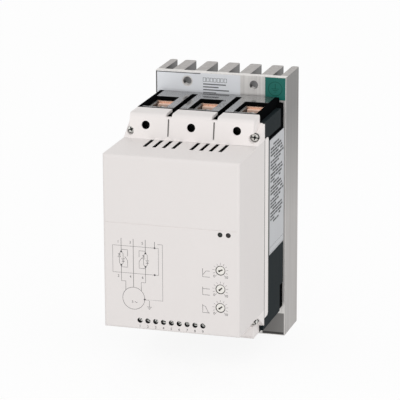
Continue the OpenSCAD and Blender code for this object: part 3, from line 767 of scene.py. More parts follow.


# Painted shade on screw heads and shanks sunk in their holes and pockets
RECESS_SHADE = srgb(40, 42, 41)
SLOT_FINISHES: Dict[str, Finish] = {
    "sink": ExtrudedAluminium("extruded_aluminium", srgb(180, 176, 173)),
    "slate_plastic": MouldedPlastic("slate_moulding", srgb(26, 34, 37), 0.65, 0.05, 0.06),
    "cover_plastic": CoverPlastic("pale_grey_moulding", srgb(233, 228, 226), 0.5, 0.3, 0.012),
    "black_plastic": PolishedPlastic("black_moulding", srgb(12, 13, 14), 0.5, 0.0, 0.1),
    "steel": TerminalSteel("zinc_plated_steel", srgb(222, 222, 218), metallic=0.6,
                           depths=((-175.1 * MM, -165 * MM, RECESS_SHADE),
                                   (-119.35 * MM, -105 * MM, RECESS_SHADE))),
    "nickel": PlatedMetal("nickel_plate", srgb(232, 231, 227), roughness=0.16),
    "copper": PlatedMetal("copper_bar", srgb(255, 222, 203), srgb(230, 172, 142), roughness=0.4,
                          metallic=0.1),
    "module_plastic": MouldedPlastic("module_moulding", srgb(38, 38, 40), 0.45, 0.4, 0.06),
    "pad": MouldedPlastic("thermal_pad", srgb(198, 202, 206), 0.75, 0.2, 0.05),
    "insulator": MouldedPlastic("red_insulator", srgb(140, 44, 34), 0.5, 0.4, 0.06),
    "relay_blue": MouldedPlastic("blue_case", srgb(36, 74, 140), 0.4, 0.4, 0.05),
    "relay_white": MouldedPlastic("white_case", srgb(226, 226, 220), 0.45, 0.4, 0.03),
    "board": CircuitBoard("circuit_board", srgb(16, 84, 50)),
    "capacitor": MouldedPlastic("capacitor_sleeve", srgb(30, 34, 48), 0.35, 0.5, 0.04),
    "ribbon": RibbonLead("ribbon_lead", srgb(168, 170, 172)),
    "terminal_green": MouldedPlastic("green_terminal", srgb(26, 44, 36), 0.5, 0.4, 0.05),
    # Painted shade on the dial behind its face: slot, pit and sides
    "dial_cream": InsideShadedPlastic("cream_dial", srgb(240, 237, 231), 0.45, 0.3, 0.02, inside_shade=srgb(92, 88, 84),
                               front=-177.45 * MM, corner=0.0),
    "run_lens": LampLens("run_lens", srgb(16, 22, 16)),
    "fault_lens": LampLens("fault_lens", srgb(26, 14, 14)),
    "silver_label": LabelFilm("silver_film", srgb(236, 238, 242), 0.1, side_shade=0.6),
    "green_label": LabelFilm("green_film", srgb(0, 102, 92), 0.0, 0.5),
}


INKS: Dict[str, Colour] = {
    "front_ink": srgb(72, 71, 73),
    "label_ink": srgb(52, 54, 56),
    "top_label_ink": srgb(112, 114, 117),
    # Painted shadow lines along the silver label's left and top edges
    "top_label_edge_shadow_ink": srgb(62, 62, 63),
    # A plain field on the plate's lower right corner, darkened as painted shade
    "shaded_label_field_ink": srgb(140, 138, 136),
    "lower_bar_ink": srgb(72, 71, 70),
    "earth_ink": srgb(0, 78, 64),
}


def mixed_ink(name: str) -> bpy.types.Material:
    """Makes the material of one ink."""
    return PrintInk(name, INKS[name]).material()


class Dresser:
    """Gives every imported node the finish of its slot, and keeps the finishes for the pieces."""

    def __init__(self) -> None:
        """Makes each finish once."""
        self.materials = {slot: finish.material() for slot, finish in SLOT_FINISHES.items()}
        self.slots = {part["node"]: part["material_slot"] for part in frame["record"]["subparts"]}

    def dress_nodes(self) -> None:
        """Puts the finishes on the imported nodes."""
        for name, slot in self.slots.items():
            node = frame["nodes"][name]
            node.data.materials.clear()
            node.data.materials.append(self.materials[slot])
            LOG.info("%s wears %s", name, slot)


class Pick(Enum):
    """What a selection takes up."""

    FACES = "FACE"
    EDGES = "EDGE"


class Workpiece:
    """A mesh on the bench, shaped in edit mode by Blender's own operators."""

    smooth_angle: float = math.radians(32)
    merge_gap: float = 0.0005 * MM
    flat_angle: float = math.radians(0.2)
    short_edge: float = 2.5
    facing: float = 0.99
    rim_band: float = 0.06 * MM

    def __init__(self, item: bpy.types.Object) -> None:
        """Takes up an object that holds a mesh."""
        self.item = item

    @staticmethod
    def clear_bench() -> None:
        """Leaves edit mode with nothing selected."""
        if bpy.context.object is not None and bpy.context.object.mode != "OBJECT":
            bpy.ops.object.mode_set(mode="OBJECT")
        bpy.ops.object.select_all(action="DESELECT")

    @classmethod
    def taken_up(cls) -> "Workpiece":
        """Takes up the object that an operator has just made, with its place in its mesh."""
        bpy.ops.object.transform_apply(location=True, rotation=True, scale=True)
        return cls(bpy.context.object)

    @classmethod
    def rod(cls, radius: float, front: float, back: float, sides: int = 48) -> "Workpiece":
        """Adds a round bar along the Y axis.

        Args:
            radius: Its radius.
            front: Y of its front end.
            back: Y of its back end.
            sides: How many sides stand for the round.

        Returns:
            The bar.
        """
        cls.clear_bench()
        bpy.ops.mesh.primitive_cylinder_add(
            vertices=sides, radius=radius, depth=back - front,
            location=(0, (front + back) / 2, 0), rotation=(math.pi / 2, 0, 0))
        return cls.taken_up()

    @classmethod
    def headed(cls, radii: Tuple[float, float], ends: Triple, rim: float, steps: int) -> "Workpiece":
        """Adds a round head on a thinner shank along the Y axis.

        Args:
            radii: Radius of the head and of the shank.
            ends: Y of the head's front, of the shank's end and of the head's back.
            rim: How far the rounding of the head's rim reaches.
            steps: How many faces that rounding takes.

        Returns:
            The head and its shank.
        """
        front, back, shoulder = ends
        piece = cls.rod(radii[0], front, shoulder).round_rim(front, rim, steps)
        piece.pick_back().inset(radii[0] - radii[1])
        return piece.extrude((0, back - shoulder, 0))

    @classmethod
    def block(cls, low: Sequence[float], high: Sequence[float]) -> "Workpiece":
        """Adds a box between two corners.

        Args:
            low: Its lowest corner.
            high: Its highest corner.

        Returns:
            The box.
        """
        cls.clear_bench()
        bpy.ops.mesh.primitive_cube_add(size=1, location=(Vector(low) + Vector(high)) / 2)
        bpy.context.object.scale = Vector(high) - Vector(low)
        return cls.taken_up()

    @classmethod
    def copy_of_node(cls, name: str) -> "Workpiece":
        """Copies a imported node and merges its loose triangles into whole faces.

        Args:
            name: The node's name.

        Returns:
            The copy, free of the node's body.
        """
        cls.clear_bench()
        node = frame["nodes"][name]
        node.select_set(True)
        bpy.context.view_layer.objects.active = node
        bpy.ops.object.duplicate()
        bpy.ops.object.parent_clear(type="CLEAR_KEEP_TRANSFORM")
        piece = cls(bpy.context.object)
        for key in list(piece.item.keys()):
            del piece.item[key]
        piece.edit()
        bpy.ops.mesh.select_all(action="SELECT")
        bpy.ops.mesh.remove_doubles(threshold=cls.merge_gap)
        bpy.ops.mesh.customdata_custom_splitnormals_clear()
        bpy.ops.mesh.dissolve_limited(angle_limit=cls.flat_angle)
        return piece

    def lift(self) -> None:
        """Selects this piece alone, in object mode."""
        self.clear_bench()
        self.item.select_set(True)
        bpy.context.view_layer.objects.active = self.item

    def edit(self) -> None:
        """Opens this piece in edit mode."""
        if self.item.mode != "EDIT":
            self.lift()
            bpy.ops.object.mode_set(mode="EDIT")

    def pick(self, kind: Pick, test: Test) -> "Workpiece":
        """Selects what a test accepts.

        Args:
            kind: Faces or edges.
            test: Takes the middle and the face's normal or the edge's direction.

        Returns:
            This piece, with the selection.
        """
        self.edit()
        bpy.ops.mesh.select_mode(type=kind.value)
        bpy.ops.mesh.select_all(action="DESELECT")
        mesh = bmesh.from_edit_mesh(self.item.data)
        if kind is Pick.FACES:
            found = [face for face in mesh.faces if test(face.calc_center_median(), face.normal)]
        else:
            found = [edge for edge in mesh.edges if test(*self.middle_and_run(edge))]
        for element in found:
            element.select_set(True)
        bmesh.update_edit_mesh(self.item.data)
        return self

    @staticmethod
    def middle_and_run(edge: bmesh.types.BMEdge) -> Tuple[Vector, Vector]:
        """Gives an edge's middle and its direction."""
        first, second = (corner.co for corner in edge.verts)
        return (first + second) / 2, (second - first).normalized()

    def pick_front(self) -> "Workpiece":
        """Selects the faces that look forwards."""
        return self.pick(Pick.FACES, lambda middle, normal: normal.y < -self.facing)

    def pick_back(self) -> "Workpiece":
        """Selects the faces that look backwards."""
        return self.pick(Pick.FACES, lambda middle, normal: normal.y > self.facing)

    def extrude(self, step: Sequence[float]) -> "Workpiece":
        """Extrudes the selection by a step."""
        bpy.ops.mesh.extrude_region_move(TRANSFORM_OT_translate={"value": step})
        return self

    def inset(self, width: float) -> "Workpiece":
        """Insets the selected faces by a width."""
        bpy.ops.mesh.inset(thickness=width)
        return self

    def move(self, step: Sequence[float]) -> "Workpiece":
        """Moves the selection by a step."""
        bpy.ops.transform.translate(value=step)
        return self

    def bevel(self, width: float, steps: int) -> "Workpiece":
        """Rounds the edges of the selection."""
        bpy.ops.mesh.bevel(offset=width, segments=steps, affect="EDGES", loop_slide=False)
        return self

    def round_rim(self, front: float, width: float, steps: int) -> "Workpiece":
        """Rounds the rim of the front end.

        Args:
            front: Y of the front end.
            width: How far the rounding reaches from the rim.
            steps: How many faces it takes.

        Returns:
            This piece.
        """
        return self.pick(Pick.EDGES, lambda middle, run: middle.y < front + self.rim_band).bevel(width, steps)

    def cut(self, tool: "Workpiece") -> "Workpiece":
        """Cuts another piece's shape out of this one, and uses the other up.

        Args:
            tool: The shape to cut out.

        Returns:
            This piece.
        """
        self.lift()
        modifier = self.item.modifiers.new("cut", "BOOLEAN")
        modifier.operation = "DIFFERENCE"
        modifier.solver = "EXACT"
        modifier.object = tool.item
        bpy.ops.object.modifier_apply(modifier=modifier.name)
        bpy.data.objects.remove(tool.item)
        return self

    def round_edges(self, width: float, steps: int = 2) -> "Workpiece":
        """Rounds every edge sharper than the smooth angle, but for those too short for the width.

        Args:
            width: How far the rounding reaches from the edge.
            steps: How many faces it takes.

        Returns:
            This piece.
        """
        self.edit()
        bpy.ops.mesh.select_mode(type="EDGE")
        bpy.ops.mesh.select_all(action="DESELECT")
        mesh = bmesh.from_edit_mesh(self.item.data)
        for edge in mesh.edges:
            sharp = len(edge.link_faces) == 2 and edge.calc_face_angle() > self.smooth_angle
            edge.select_set(sharp and edge.calc_length() > self.short_edge * width)
        bmesh.update_edit_mesh(self.item.data)
        return self.bevel(width, steps)

    def copy_to(self, place: Sequence[float], turn: float = 0.0) -> "Workpiece":
        """Copies this piece with a mesh of its own.

        Args:
            place: How far the copy is moved.
            turn: How far it is turned about Y first, clockwise from the front, in degrees.

        Returns:
            The copy.
        """
        self.lift()
        bpy.ops.object.duplicate()
        bpy.context.object.rotation_euler = (0, math.radians(turn), 0)
        bpy.context.object.location = place
        return self.taken_up()

    def join(self, others: Sequence["Workpiece"]) -> "Workpiece":
        """Joins other pieces to this one."""
        self.lift()
        for other in others:
            other.item.select_set(True)
        if others:
            bpy.ops.object.join()
        return self

    def discard(self) -> None:
        """Takes this piece off the bench for good."""
        self.clear_bench()
        bpy.data.objects.remove(self.item)

    def settle(self, name: str, material: bpy.types.Material, body: str = ROOT_BODY,
               slot: Optional[str] = None, replaced: Sequence[str] = ()) -> None:
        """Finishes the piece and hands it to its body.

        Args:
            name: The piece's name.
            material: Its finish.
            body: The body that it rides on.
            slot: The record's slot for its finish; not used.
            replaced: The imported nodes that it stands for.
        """
        self.edit()
        bpy.ops.mesh.select_all(action="SELECT")
        bpy.ops.mesh.normals_make_consistent(inside=False)
        self.lift()
        bpy.ops.object.shade_smooth_by_angle(angle=self.smooth_angle)
        flat = self.item.modifiers.new("flat_faces", "WEIGHTED_NORMAL")
        flat.keep_sharp = True
        bpy.ops.object.modifier_apply(modifier=flat.name)
        self.item.name = name
        self.item.data.name = name
        self.item.data.materials.clear()
        self.item.data.materials.append(material)
        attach(self.item, body)
        if replaced:
            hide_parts(*replaced)
        LOG.info("%s rides on %s", name, body)


EDGE_BREAKS: Dict[str, float] = {
    "front_cover": 0.2 * MM,
    "base_housing": 0.3 * MM,
    "heat_sink": 0.3 * MM,
    "upper_terminal_block": 0.3 * MM,
    "lower_terminal_block": 0.3 * MM,
    "line_clamp_saddles": 0.5 * MM,
    "load_clamp_saddles": 0.5 * MM,
    "line_clamp_screws": 0.25 * MM,
    "load_clamp_screws": 0.25 * MM,
    "phase_bar_l2": 0.5 * MM,
    **{f"line_box_{pole}": 0.4 * MM for pole in ("l1", "l2", "l3")},
    **{f"load_box_{pole}": 0.4 * MM for pole in ("t1", "t2", "t3")},
    **{f"line_bar_{pole}": 0.5 * MM for pole in ("l1", "l3")},
    **{f"load_bar_{pole}": 0.5 * MM for pole in ("t1", "t3")},
}


class BrokenEdges:
    """Parts that show, with their edges broken as moulding, sawing and stamping leave them."""

    def build(self, dresser: Dresser) -> None:
        """Makes a rounded stand-in for each of these parts.

        Args:
            dresser: Holds the finishes.
        """
        for node, width in EDGE_BREAKS.items():
            slot = dresser.slots[node]
            piece = Workpiece.copy_of_node(node).round_edges(width)
            piece.settle(f"rounded_{node}", dresser.materials[slot], slot=slot, replaced=[node])


@dataclass
class SettingDials:
    """Slotted dials on their shafts, each turned to its setting."""

    settings: Dict[str, float] = field(
        default_factory=lambda: {"start_ramp": 65, "start_voltage": 48, "stop_ramp": 52})
    rim: float = 0.45 * MM
    rim_steps: int = 4
    head_length: float = 8.5 * MM
    shaft_radius: float = 1.5 * MM
    slot_width: float = 1.1 * MM
    slot_depth: float = 0.8 * MM
    slot_end: float = 1.5 * MM
    pit_radius: float = 0.8 * MM
    pit_depth: float = 1.4 * MM
    pit_place: float = 1.1 * MM
    pit_sides: int = 24
    edge: float = 0.08 * MM

    def pattern(self, radius: float, front: float, back: float) -> Workpiece:
        """Models one dial on the Y axis, its slot upright.

        Args:
            radius: Radius of the head.
            front: Y of the head's front.
            back: Y of the shaft's end.

        Returns:
            The dial.
        """
        dial = Workpiece.headed((radius, self.shaft_radius), (front, back, front + self.head_length),
                                self.rim, self.rim_steps)
        reach = radius - self.slot_end
        dial.cut(Workpiece.block((-self.slot_width / 2, front - self.rim, -reach),
                                 (self.slot_width / 2, front + self.slot_depth, reach)))
        pit = Workpiece.rod(self.pit_radius, front - self.rim, front + self.pit_depth, self.pit_sides)
        dial.cut(pit.copy_to((0, 0, -self.pit_place)))
        pit.discard()
        return dial.round_edges(self.edge)

    def build(self, dresser: Dresser) -> None:
        """Makes the three dials.

        Args:
            dresser: Holds the finishes.
        """
        low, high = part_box("start_ramp_dial")
        pattern = self.pattern((high.x - low.x) / 2, low.y, high.y)
        for name, angle in self.settings.items():
            dial = pattern.copy_to(axis_between(*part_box(f"{name}_dial")), angle)
            dial.settle(f"slotted_{name}_dial", dresser.materials["dial_cream"], f"{name}_setting",
                        "dial_cream", [f"{name}_dial"])
        pattern.discard()


@dataclass
class IndicatorLamps:
    """Light pipes with a domed end in the front face."""

    lenses: Dict[str, str] = field(
        default_factory=lambda: {"run_lamp": "run_lens", "fault_lamp": "fault_lens"})
    steps: int = 6
    sides: int = 32

    def build(self, dresser: Dresser) -> None:
        """Makes both lamps.

        Args:
            dresser: Holds the finishes.
        """
        for node, slot in self.lenses.items():
            low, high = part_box(node)
            radius = (high.x - low.x) / 2
            lamp = self.dome(radius, low.y, high.y)
            placed = lamp.copy_to(axis_between(low, high))
            lamp.discard()
            placed.settle(f"domed_{node}", dresser.materials[slot], slot=slot, replaced=[node])

    def dome(self, radius: float, front: float, back: float) -> Workpiece:
        """Models one lamp on the Y axis; its dome has twice the lamp's radius.

        Args:
            radius: Radius of the lamp.
            front: Y of the dome's top.
            back: Y of the pipe's end.

        Returns:
            The lamp.
        """
        curve = 2 * radius
        radii = [radius * (1 - step / self.steps) for step in range(self.steps)]
        depths = [curve - math.sqrt(curve ** 2 - ring ** 2) for ring in radii]
        lamp = Workpiece.rod(radius, front + depths[0], back, self.sides).pick_front()
        for step in range(1, self.steps):
            lamp.inset(radii[step - 1] - radii[step]).move((0, depths[step] - depths[step - 1], 0))
        return lamp


@dataclass
class CoverScrews:
    """Plated screws in the cover's corners, with a slot and a cross in their heads."""

    head_radius: float = 3 * MM
    head_height: float = 3 * MM
    shank_radius: float = 1.5 * MM
    rim: float = 0.6 * MM
    rim_steps: int = 3
    slot_width: float = 0.9 * MM
    slot_depth: float = 1.2 * MM
    cross_reach: float = 1.9 * MM
    pit_radius: float = 1.1 * MM
    pit_depth: float = 1.9 * MM
    pit_sides: int = 24
    edge: float = 0.08 * MM
    turns: Tuple[float, ...] = (35, -20, 62, 8)

    def pattern(self, front: float, back: float) -> Workpiece:
        """Models one screw on the Y axis.

        Args:
            front: Y of the head's front.
            back: Y of the shank's end.

        Returns:
            The screw.
        """
        screw = Workpiece.headed((self.head_radius, self.shank_radius),
                                 (front, back, front + self.head_height), self.rim, self.rim_steps)
        half = self.slot_width / 2
        floor = front + self.slot_depth
        for across, up in ((2 * self.head_radius, half), (half, self.cross_reach)):
            screw.cut(Workpiece.block((-across, front - self.rim, -up), (across, floor, up)))
        screw.cut(Workpiece.rod(self.pit_radius, front - self.rim, front + self.pit_depth, self.pit_sides))
        return screw.round_edges(self.edge)

    def build(self, dresser: Dresser) -> None:
        """Makes the four screws.

        Args:
            dresser: Holds the finishes.
        """
        low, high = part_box("cover_screws")
        pattern = self.pattern(low.y, high.y)
        places = [(x, 0, z) for x in (low.x + self.head_radius, high.x - self.head_radius)
                  for z in (low.z + self.head_radius, high.z - self.head_radius)]
        screws = [pattern.copy_to(place, turn) for place, turn in zip(places, self.turns)]
        pattern.discard()
        slot = dresser.slots["cover_screws"]
        screws[0].join(screws[1:]).settle("cross_slot_cover_screws", dresser.materials[slot], slot=slot,
                                          replaced=["cover_screws"])


@dataclass
class ControlTerminals:
    """Slotted control screws behind the cover's holes, each left at another angle."""

    turns: Tuple[float, ...] = (-52, 24, -60, 8, -40, -28, 86, 2, 38)
    radius: float = 1.7 * MM
    sides: int = 32
    rim: float = 0.25 * MM
    rim_steps: int = 3
    slot_width: float = 0.6 * MM
    slot_depth: float = 0.9 * MM
    edge: float = 0.06 * MM

    def places(self) -> List[Triple]:
        """Gives the screws' axes, evenly spaced between the outer two."""
        low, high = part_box("control_terminal_screws")
        first = low.x + self.radius
        pitch = (high.x - low.x - 2 * self.radius) / (len(self.turns) - 1)
        return [(first + step * pitch, 0, (low.z + high.z) / 2) for step in range(len(self.turns))]

    def screw(self) -> Workpiece:
        """Models one screw on the Y axis."""
        low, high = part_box("control_terminal_screws")
        screw = Workpiece.rod(self.radius, low.y, high.y, self.sides)
        screw.round_rim(low.y, self.rim, self.rim_steps)
        half = self.slot_width / 2
        screw.cut(Workpiece.block((-2 * self.radius, low.y - self.rim, -half),
                                  (2 * self.radius, low.y + self.slot_depth, half)))
        return screw.round_edges(self.edge)

    def build(self, dresser: Dresser) -> None:
        """Makes the screws.

        Args:
            dresser: Holds the finishes.
        """
        screw = self.screw()
        screws = [screw.copy_to(place, turn) for place, turn in zip(self.places(), self.turns)]
        screw.discard()
        slot = dresser.slots["control_terminal_screws"]
        screws[0].join(screws[1:]).settle("turned_control_screws", dresser.materials[slot], slot=slot,
                                          replaced=["control_terminal_screws"])


@dataclass(frozen=True)
class PrintFace:
    """A flat face that carries print; places on it are in millimetres from the part's origin."""

    origin: Triple
    across: Triple = (1, 0, 0)
    up: Triple = (0, 0, 1)

    def out(self) -> Vector:
        """Gives the direction out of the face."""
        return Vector(self.across).cross(Vector(self.up))

    def at(self, place: Point, rise: float = 0.0) -> Vector:
        """Gives a place on the face, or a rise above it."""
        step = place[0] * Vector(self.across) + place[1] * Vector(self.up)
        return Vector(self.origin) + MM * step + rise * self.out()

    def turn(self, angle: float = 0.0) -> Sequence[float]:
        """Gives the turn that lays a flat shape on the face, after a turn on the face in degrees."""
        lay = Matrix((self.across, self.up, self.out())).transposed()
        return (lay @ Matrix.Rotation(math.radians(angle), 3, "Z")).to_euler()


class Pen:
    """Lays thin raised ink on one face and joins it into one piece."""

    rise: float = 0.03 * MM
    ring_sides: int = 64
    dot_sides: int = 16
    bar_sides: int = 4
    bar_turn: float = 45
    digit_share: float = 0.7

    def __init__(self, face: PrintFace, width: float) -> None:
        """Takes up the pen.

        Args:
            face: The face to print on.
            width: Width of its lines.
        """
        self.face = face
        self.width = width
        self.parts: List[Workpiece] = []

    def blank(self) -> None:
        """Opens an empty mesh in edit mode."""
        Workpiece.clear_bench()
        bpy.ops.mesh.primitive_plane_add(size=self.width)
        bpy.ops.object.mode_set(mode="EDIT")
        bpy.ops.mesh.select_mode(type="VERT")
        bpy.ops.mesh.delete(type="VERT")

    def stroke(self, stroke: Sequence[Point]) -> None:
        """Adds the edges of one line, which is closed where it ends at its start.

        Args:
            stroke: The places that it passes.
        """
        places = [self.face.at(place) for place in stroke]
        bpy.ops.mesh.primitive_plane_add(size=self.width, location=places[0])
        bpy.ops.mesh.merge(type="CENTER")
        for here, there in zip(places, places[1:]):
            bpy.ops.mesh.extrude_region_move(TRANSFORM_OT_translate={"value": there - here})
        if stroke[0] == stroke[-1]:
            bpy.ops.mesh.select_linked()
            bpy.ops.mesh.remove_doubles(threshold=self.rise)

    def lines(self, strokes: Sequence[Sequence[Point]],
              rings: Sequence[Tuple[Point, float]] = ()) -> None:
        """Draws lines of the pen's width.

        Args:
            strokes: The places that each line passes.
            rings: Middle and radius of each ring.
        """
        self.blank()
        for stroke in strokes:
            self.stroke(stroke)
        for middle, radius in rings:
            bpy.ops.mesh.primitive_circle_add(vertices=self.ring_sides, radius=radius * MM,
                                              location=self.face.at(middle), rotation=self.face.turn())
        bpy.ops.object.mode_set(mode="OBJECT")
        bpy.ops.object.convert(target="CURVE")
        curve = bpy.context.object.data
        curve.bevel_depth = self.width / 2
        curve.bevel_resolution = 1
        curve.use_fill_caps = True
        bpy.ops.object.convert(target="MESH")
        line = Workpiece.taken_up()
        line.pick(Pick.FACES, lambda middle, normal: True)
        flat = 1 - 2 * self.rise / self.width
        squeeze = [1 - flat * abs(step) for step in self.face.out()]
        bpy.ops.transform.resize(value=squeeze, center_override=self.face.origin)
        self.parts.append(line)

    def fill(self, shapes: Sequence[Tuple[Point, Point, int, float]]) -> None:
        """Draws filled shapes.

        Args:
            shapes: Middle, half width and half height, corners and turn in degrees of each shape.
        """
        self.blank()
        sides = (self.face.across, self.face.up, self.face.out())
        across, up, out = (Vector(map(abs, side)) for side in sides)
        sink = -2 * self.rise * self.face.out()
        for middle, half, corners, turn in shapes:
            place = self.face.at(middle, self.rise)
            bpy.ops.mesh.primitive_circle_add(vertices=corners, radius=MM, fill_type="NGON", location=place,
                                              rotation=self.face.turn(turn))
            bpy.ops.transform.resize(value=half[0] * across + half[1] * up + out, center_override=place)
            bpy.ops.mesh.extrude_region_move(TRANSFORM_OT_translate={"value": sink})
        bpy.ops.object.mode_set(mode="OBJECT")
        self.parts.append(Workpiece.taken_up())

    def bars(self, bars: Sequence[Oblong]) -> None:
        """Draws filled oblongs.

        Args:
            bars: Lower left and upper right corner of each.
        """
        half = math.sqrt(0.5)
        shapes = []
        for low, high in bars:
            middle = ((low[0] + high[0]) / 2, (low[1] + high[1]) / 2)
            size = (half * (high[0] - low[0]), half * (high[1] - low[1]))
            shapes.append((middle, size, self.bar_sides, self.bar_turn))
        self.fill(shapes)

    def dots(self, dots: Sequence[Tuple[Point, float]]) -> None:
        """Draws filled dots, given as middle and radius."""
        self.fill([(middle, (radius, radius), self.dot_sides, 0) for middle, radius in dots])

    def numbers(self, numbers: Sequence[Tuple[str, Point, float]]) -> None:
        """Draws plain numbers.

        Args:
            numbers: Figures, middle and height of each.
        """
        for figures, middle, height in numbers:
            Workpiece.clear_bench()
            bpy.ops.object.text_add(location=self.face.at(middle), rotation=self.face.turn())
            text = bpy.context.object.data
            text.body = figures
            text.size = height * MM / self.digit_share
            text.align_x = "CENTER"
            text.align_y = "CENTER"
            text.extrude = self.rise
            bpy.ops.object.convert(target="MESH")
            self.parts.append(Workpiece.taken_up())

    def finish(self, name: str, ink: bpy.types.Material) -> None:
        """Joins what was drawn into one piece on the root body.

        Args:
            name: The piece's name.
            ink: Its finish.
        """
        for part in self.parts:
            part.edit()
            bpy.ops.mesh.select_all(action="SELECT")
            bpy.ops.mesh.remove_doubles(threshold=Workpiece.merge_gap)
            bpy.ops.object.mode_set(mode="OBJECT")
        self.parts[0].join(self.parts[1:]).settle(name, ink)


@dataclass
class FrontPrint:
    """Wiring diagram, ramp graphs, dial scales and numbers on the front face, in millimetres."""

    line: float = 0.35 * MM
    tick: float = 0.24 * MM
    poles: Triple = (-39.5, -29.85, -20.2)
    pole_top: float = 7.0
    box_low: Point = (-46.3, -20.3)
    box_high: Point = (-9.9, 1.1)
    earth_x: float = -12.9
    earth_top: float = 6.0
    earth_loop: Point = (-6.65, 4.1)
    loop_start: float = -10.5
    earth_drop: float = 0.3
    stem_step: Point = (3.7, -0.8)
    stem_foot: float = -46.2
    earth_bars: Tuple[Point, ...] = ((1.9, -46.2), (1.2, -47.1), (0.5, -48.0))
    left_lead: Point = (3.4, -26.9)
    right_lead: Point = (-3.5, -27.1)
    lead_foot: float = -33.9
    motor: Point = (-29.85, -40.2)
    motor_radius: float = 8.8
    wave_place: Point = (0.8, -3.0)
    wave_height: float = 0.35
    wave_steps: int = 8
    wave_step: float = 0.25
    dot: float = 0.75
    switch_top: float = -3.65
    switch_foot: float = -14.35
    branch: float = 1.5
    valve: float = 1.2
    valve_places: Tuple[Tuple[int, float], ...] = ((-1, -6.9), (1, -10.3))
    bracket: float = 5.05
    contact_rise: float = 1.7
    contact_drop: float = 3.4
    contact_swing: float = 2.3
    contact_gap: float = 3.8
    contact_foot: float = 1.5
    graph_lines: Tuple[Tuple[Point, ...], ...] = (
        ((25.0, -11.7), (25.0, -18.2), (30.6, -18.2)),
        ((25.2, -16.5), (27.6, -13.5), (30.6, -13.4)),
        ((25.0, -26.2), (25.0, -32.4), (30.6, -32.4)),
        ((25.0, -27.6), (30.6, -27.6)),
        ((25.0, -40.1), (25.0, -46.6), (30.6, -46.6)),
        ((25.0, -41.0), (27.1, -41.5), (29.6, -46.6)),
    )
    scale_steps: int = 10
    scale_angle: float = 140
    scale_inner: float = 4.55
    scale_outer: float = 6.2
    digit: float = 2.0
    pole_digits: Tuple[Tuple[int, float], ...] = ((1, 4.0), (2, -23.2))
    pole_digit_step: float = -2.4
    motor_digit: Tuple[str, Point] = ("3", (-1.0, -3.0))
    dial_digits: Tuple[Tuple[str, Point], ...] = (("0", (-4.8, -4.7)), ("10", (4.6, -5.0)))
    screw_digit_height: float = -62.2

    def build(self) -> None:
        """Prints the front face."""
        ink = mixed_ink("front_ink")
        face = PrintFace((0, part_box("front_cover")[0].y, 0))
        self.wiring(Pen(face, self.line)).finish("front_print_wiring", ink)
        self.graphs(Pen(face, self.line)).finish("front_print_graphs", ink)
        self.scales(Pen(face, self.tick)).finish("front_print_scales", ink)
        self.numbers(Pen(face, self.line)).finish("front_print_numbers", ink)

    def pole_switch(self, x: float, side: int) -> List[List[Point]]:
        """Gives the lines of one pole's electronic switch and its bypass contact.

        Args:
            x: Where the pole's line runs.
            side: 1 for a bypass on the right, -1 for one on the left.

        Returns:
            The lines.
        """
        top, foot = self.switch_top, self.switch_foot
        by = x + side * self.bracket
        near, far = x - self.branch, x + self.branch
        high, low = top - self.branch, foot + self.branch
        return [
            [(x, top), (far, high), (far, low), (x, foot), (near, low), (near, high), (x, top)],
            [(x, top + self.contact_rise), (by, top + self.contact_rise), (by, top - self.contact_drop)],
            [(by - side * self.contact_swing, top - self.contact_gap), (by, foot + self.contact_gap),
             (by, foot - self.contact_foot), (x, foot - self.contact_foot)],
        ]

    def wiring(self, pen: Pen) -> Pen:
        """Draws the wiring diagram."""
        left, middle, right = self.poles
        low, high = self.box_low, self.box_high
        top, foot = self.switch_top, self.switch_foot
        loop_x, loop_top = self.earth_loop
        motor_x, motor_z = self.motor
        earth = (motor_x + self.motor_radius, motor_z - self.earth_drop)
        stem, bend = earth[0] + self.stem_step[0], earth[1] + self.stem_step[1]
        strokes = [
            oblong_line(low, high),
            [(middle, self.pole_top), (middle, motor_z + self.motor_radius)],
            [(self.earth_x, self.earth_top), (self.earth_x, high[1])],
            [(self.loop_start, loop_top), (loop_x, loop_top), (loop_x, earth[1]), earth, (stem, bend),
             (stem, self.stem_foot)],
        ]
        for x, (step, turn) in ((left, self.left_lead), (right, self.right_lead)):
            strokes.append([(x, self.pole_top), (x, top)])
            strokes.append([(x, foot), (x, turn), (x + step, turn), (x + step, self.lead_foot)])
        strokes += self.pole_switch(left, 1) + self.pole_switch(right, -1)
        strokes += self.valve_lines(left) + self.valve_lines(right)
        strokes += [[(stem - half, z), (stem + half, z)] for half, z in self.earth_bars]
        strokes.append(self.wave())
        pen.lines(strokes, [(self.motor, self.motor_radius)])
        dots = [(x, z) for x in (left, right) for z in (top, foot)]
        dots += [(self.earth_x, high[1]), (self.earth_x, low[1]), earth]
        pen.dots([(place, self.dot) for place in dots])
        return pen

    def wave(self) -> List[Point]:
        """Gives one wave of alternating current, inside the motor's ring."""
        x, z = (motor + step for motor, step in zip(self.motor, self.wave_place))
        turn = 2 * math.pi / self.wave_steps
        return [(x + step * self.wave_step, z + self.wave_height * math.sin(step * turn))
                for step in range(self.wave_steps + 1)]

    def valve_lines(self, x: float) -> List[List[Point]]:
        """Gives the two valve symbols of a pole, one pointing up and one down."""
        lines: List[List[Point]] = []
        for side, z in self.valve_places:
            middle, rise = x + side * self.branch, -side * self.valve
            foot, tip = z - rise, z + rise
            lines.append([(middle - self.valve, foot), (middle + self.valve, foot), (middle, tip),
                          (middle - self.valve, foot)])
            lines.append([(middle - self.valve, tip), (middle + self.valve, tip)])
        return lines

    def graphs(self, pen: Pen) -> Pen:
        """Draws the three ramp graphs."""
        pen.lines(self.graph_lines)
        return pen

    def dial_places(self) -> List[Point]:
        """Gives the dials' middles, in millimetres."""
        boxes = [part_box(f"{name}_dial") for name in ("start_ramp", "start_voltage", "stop_ramp")]
        return [((low.x + high.x) / 2 / MM, (low.z + high.z) / 2 / MM) for low, high in boxes]

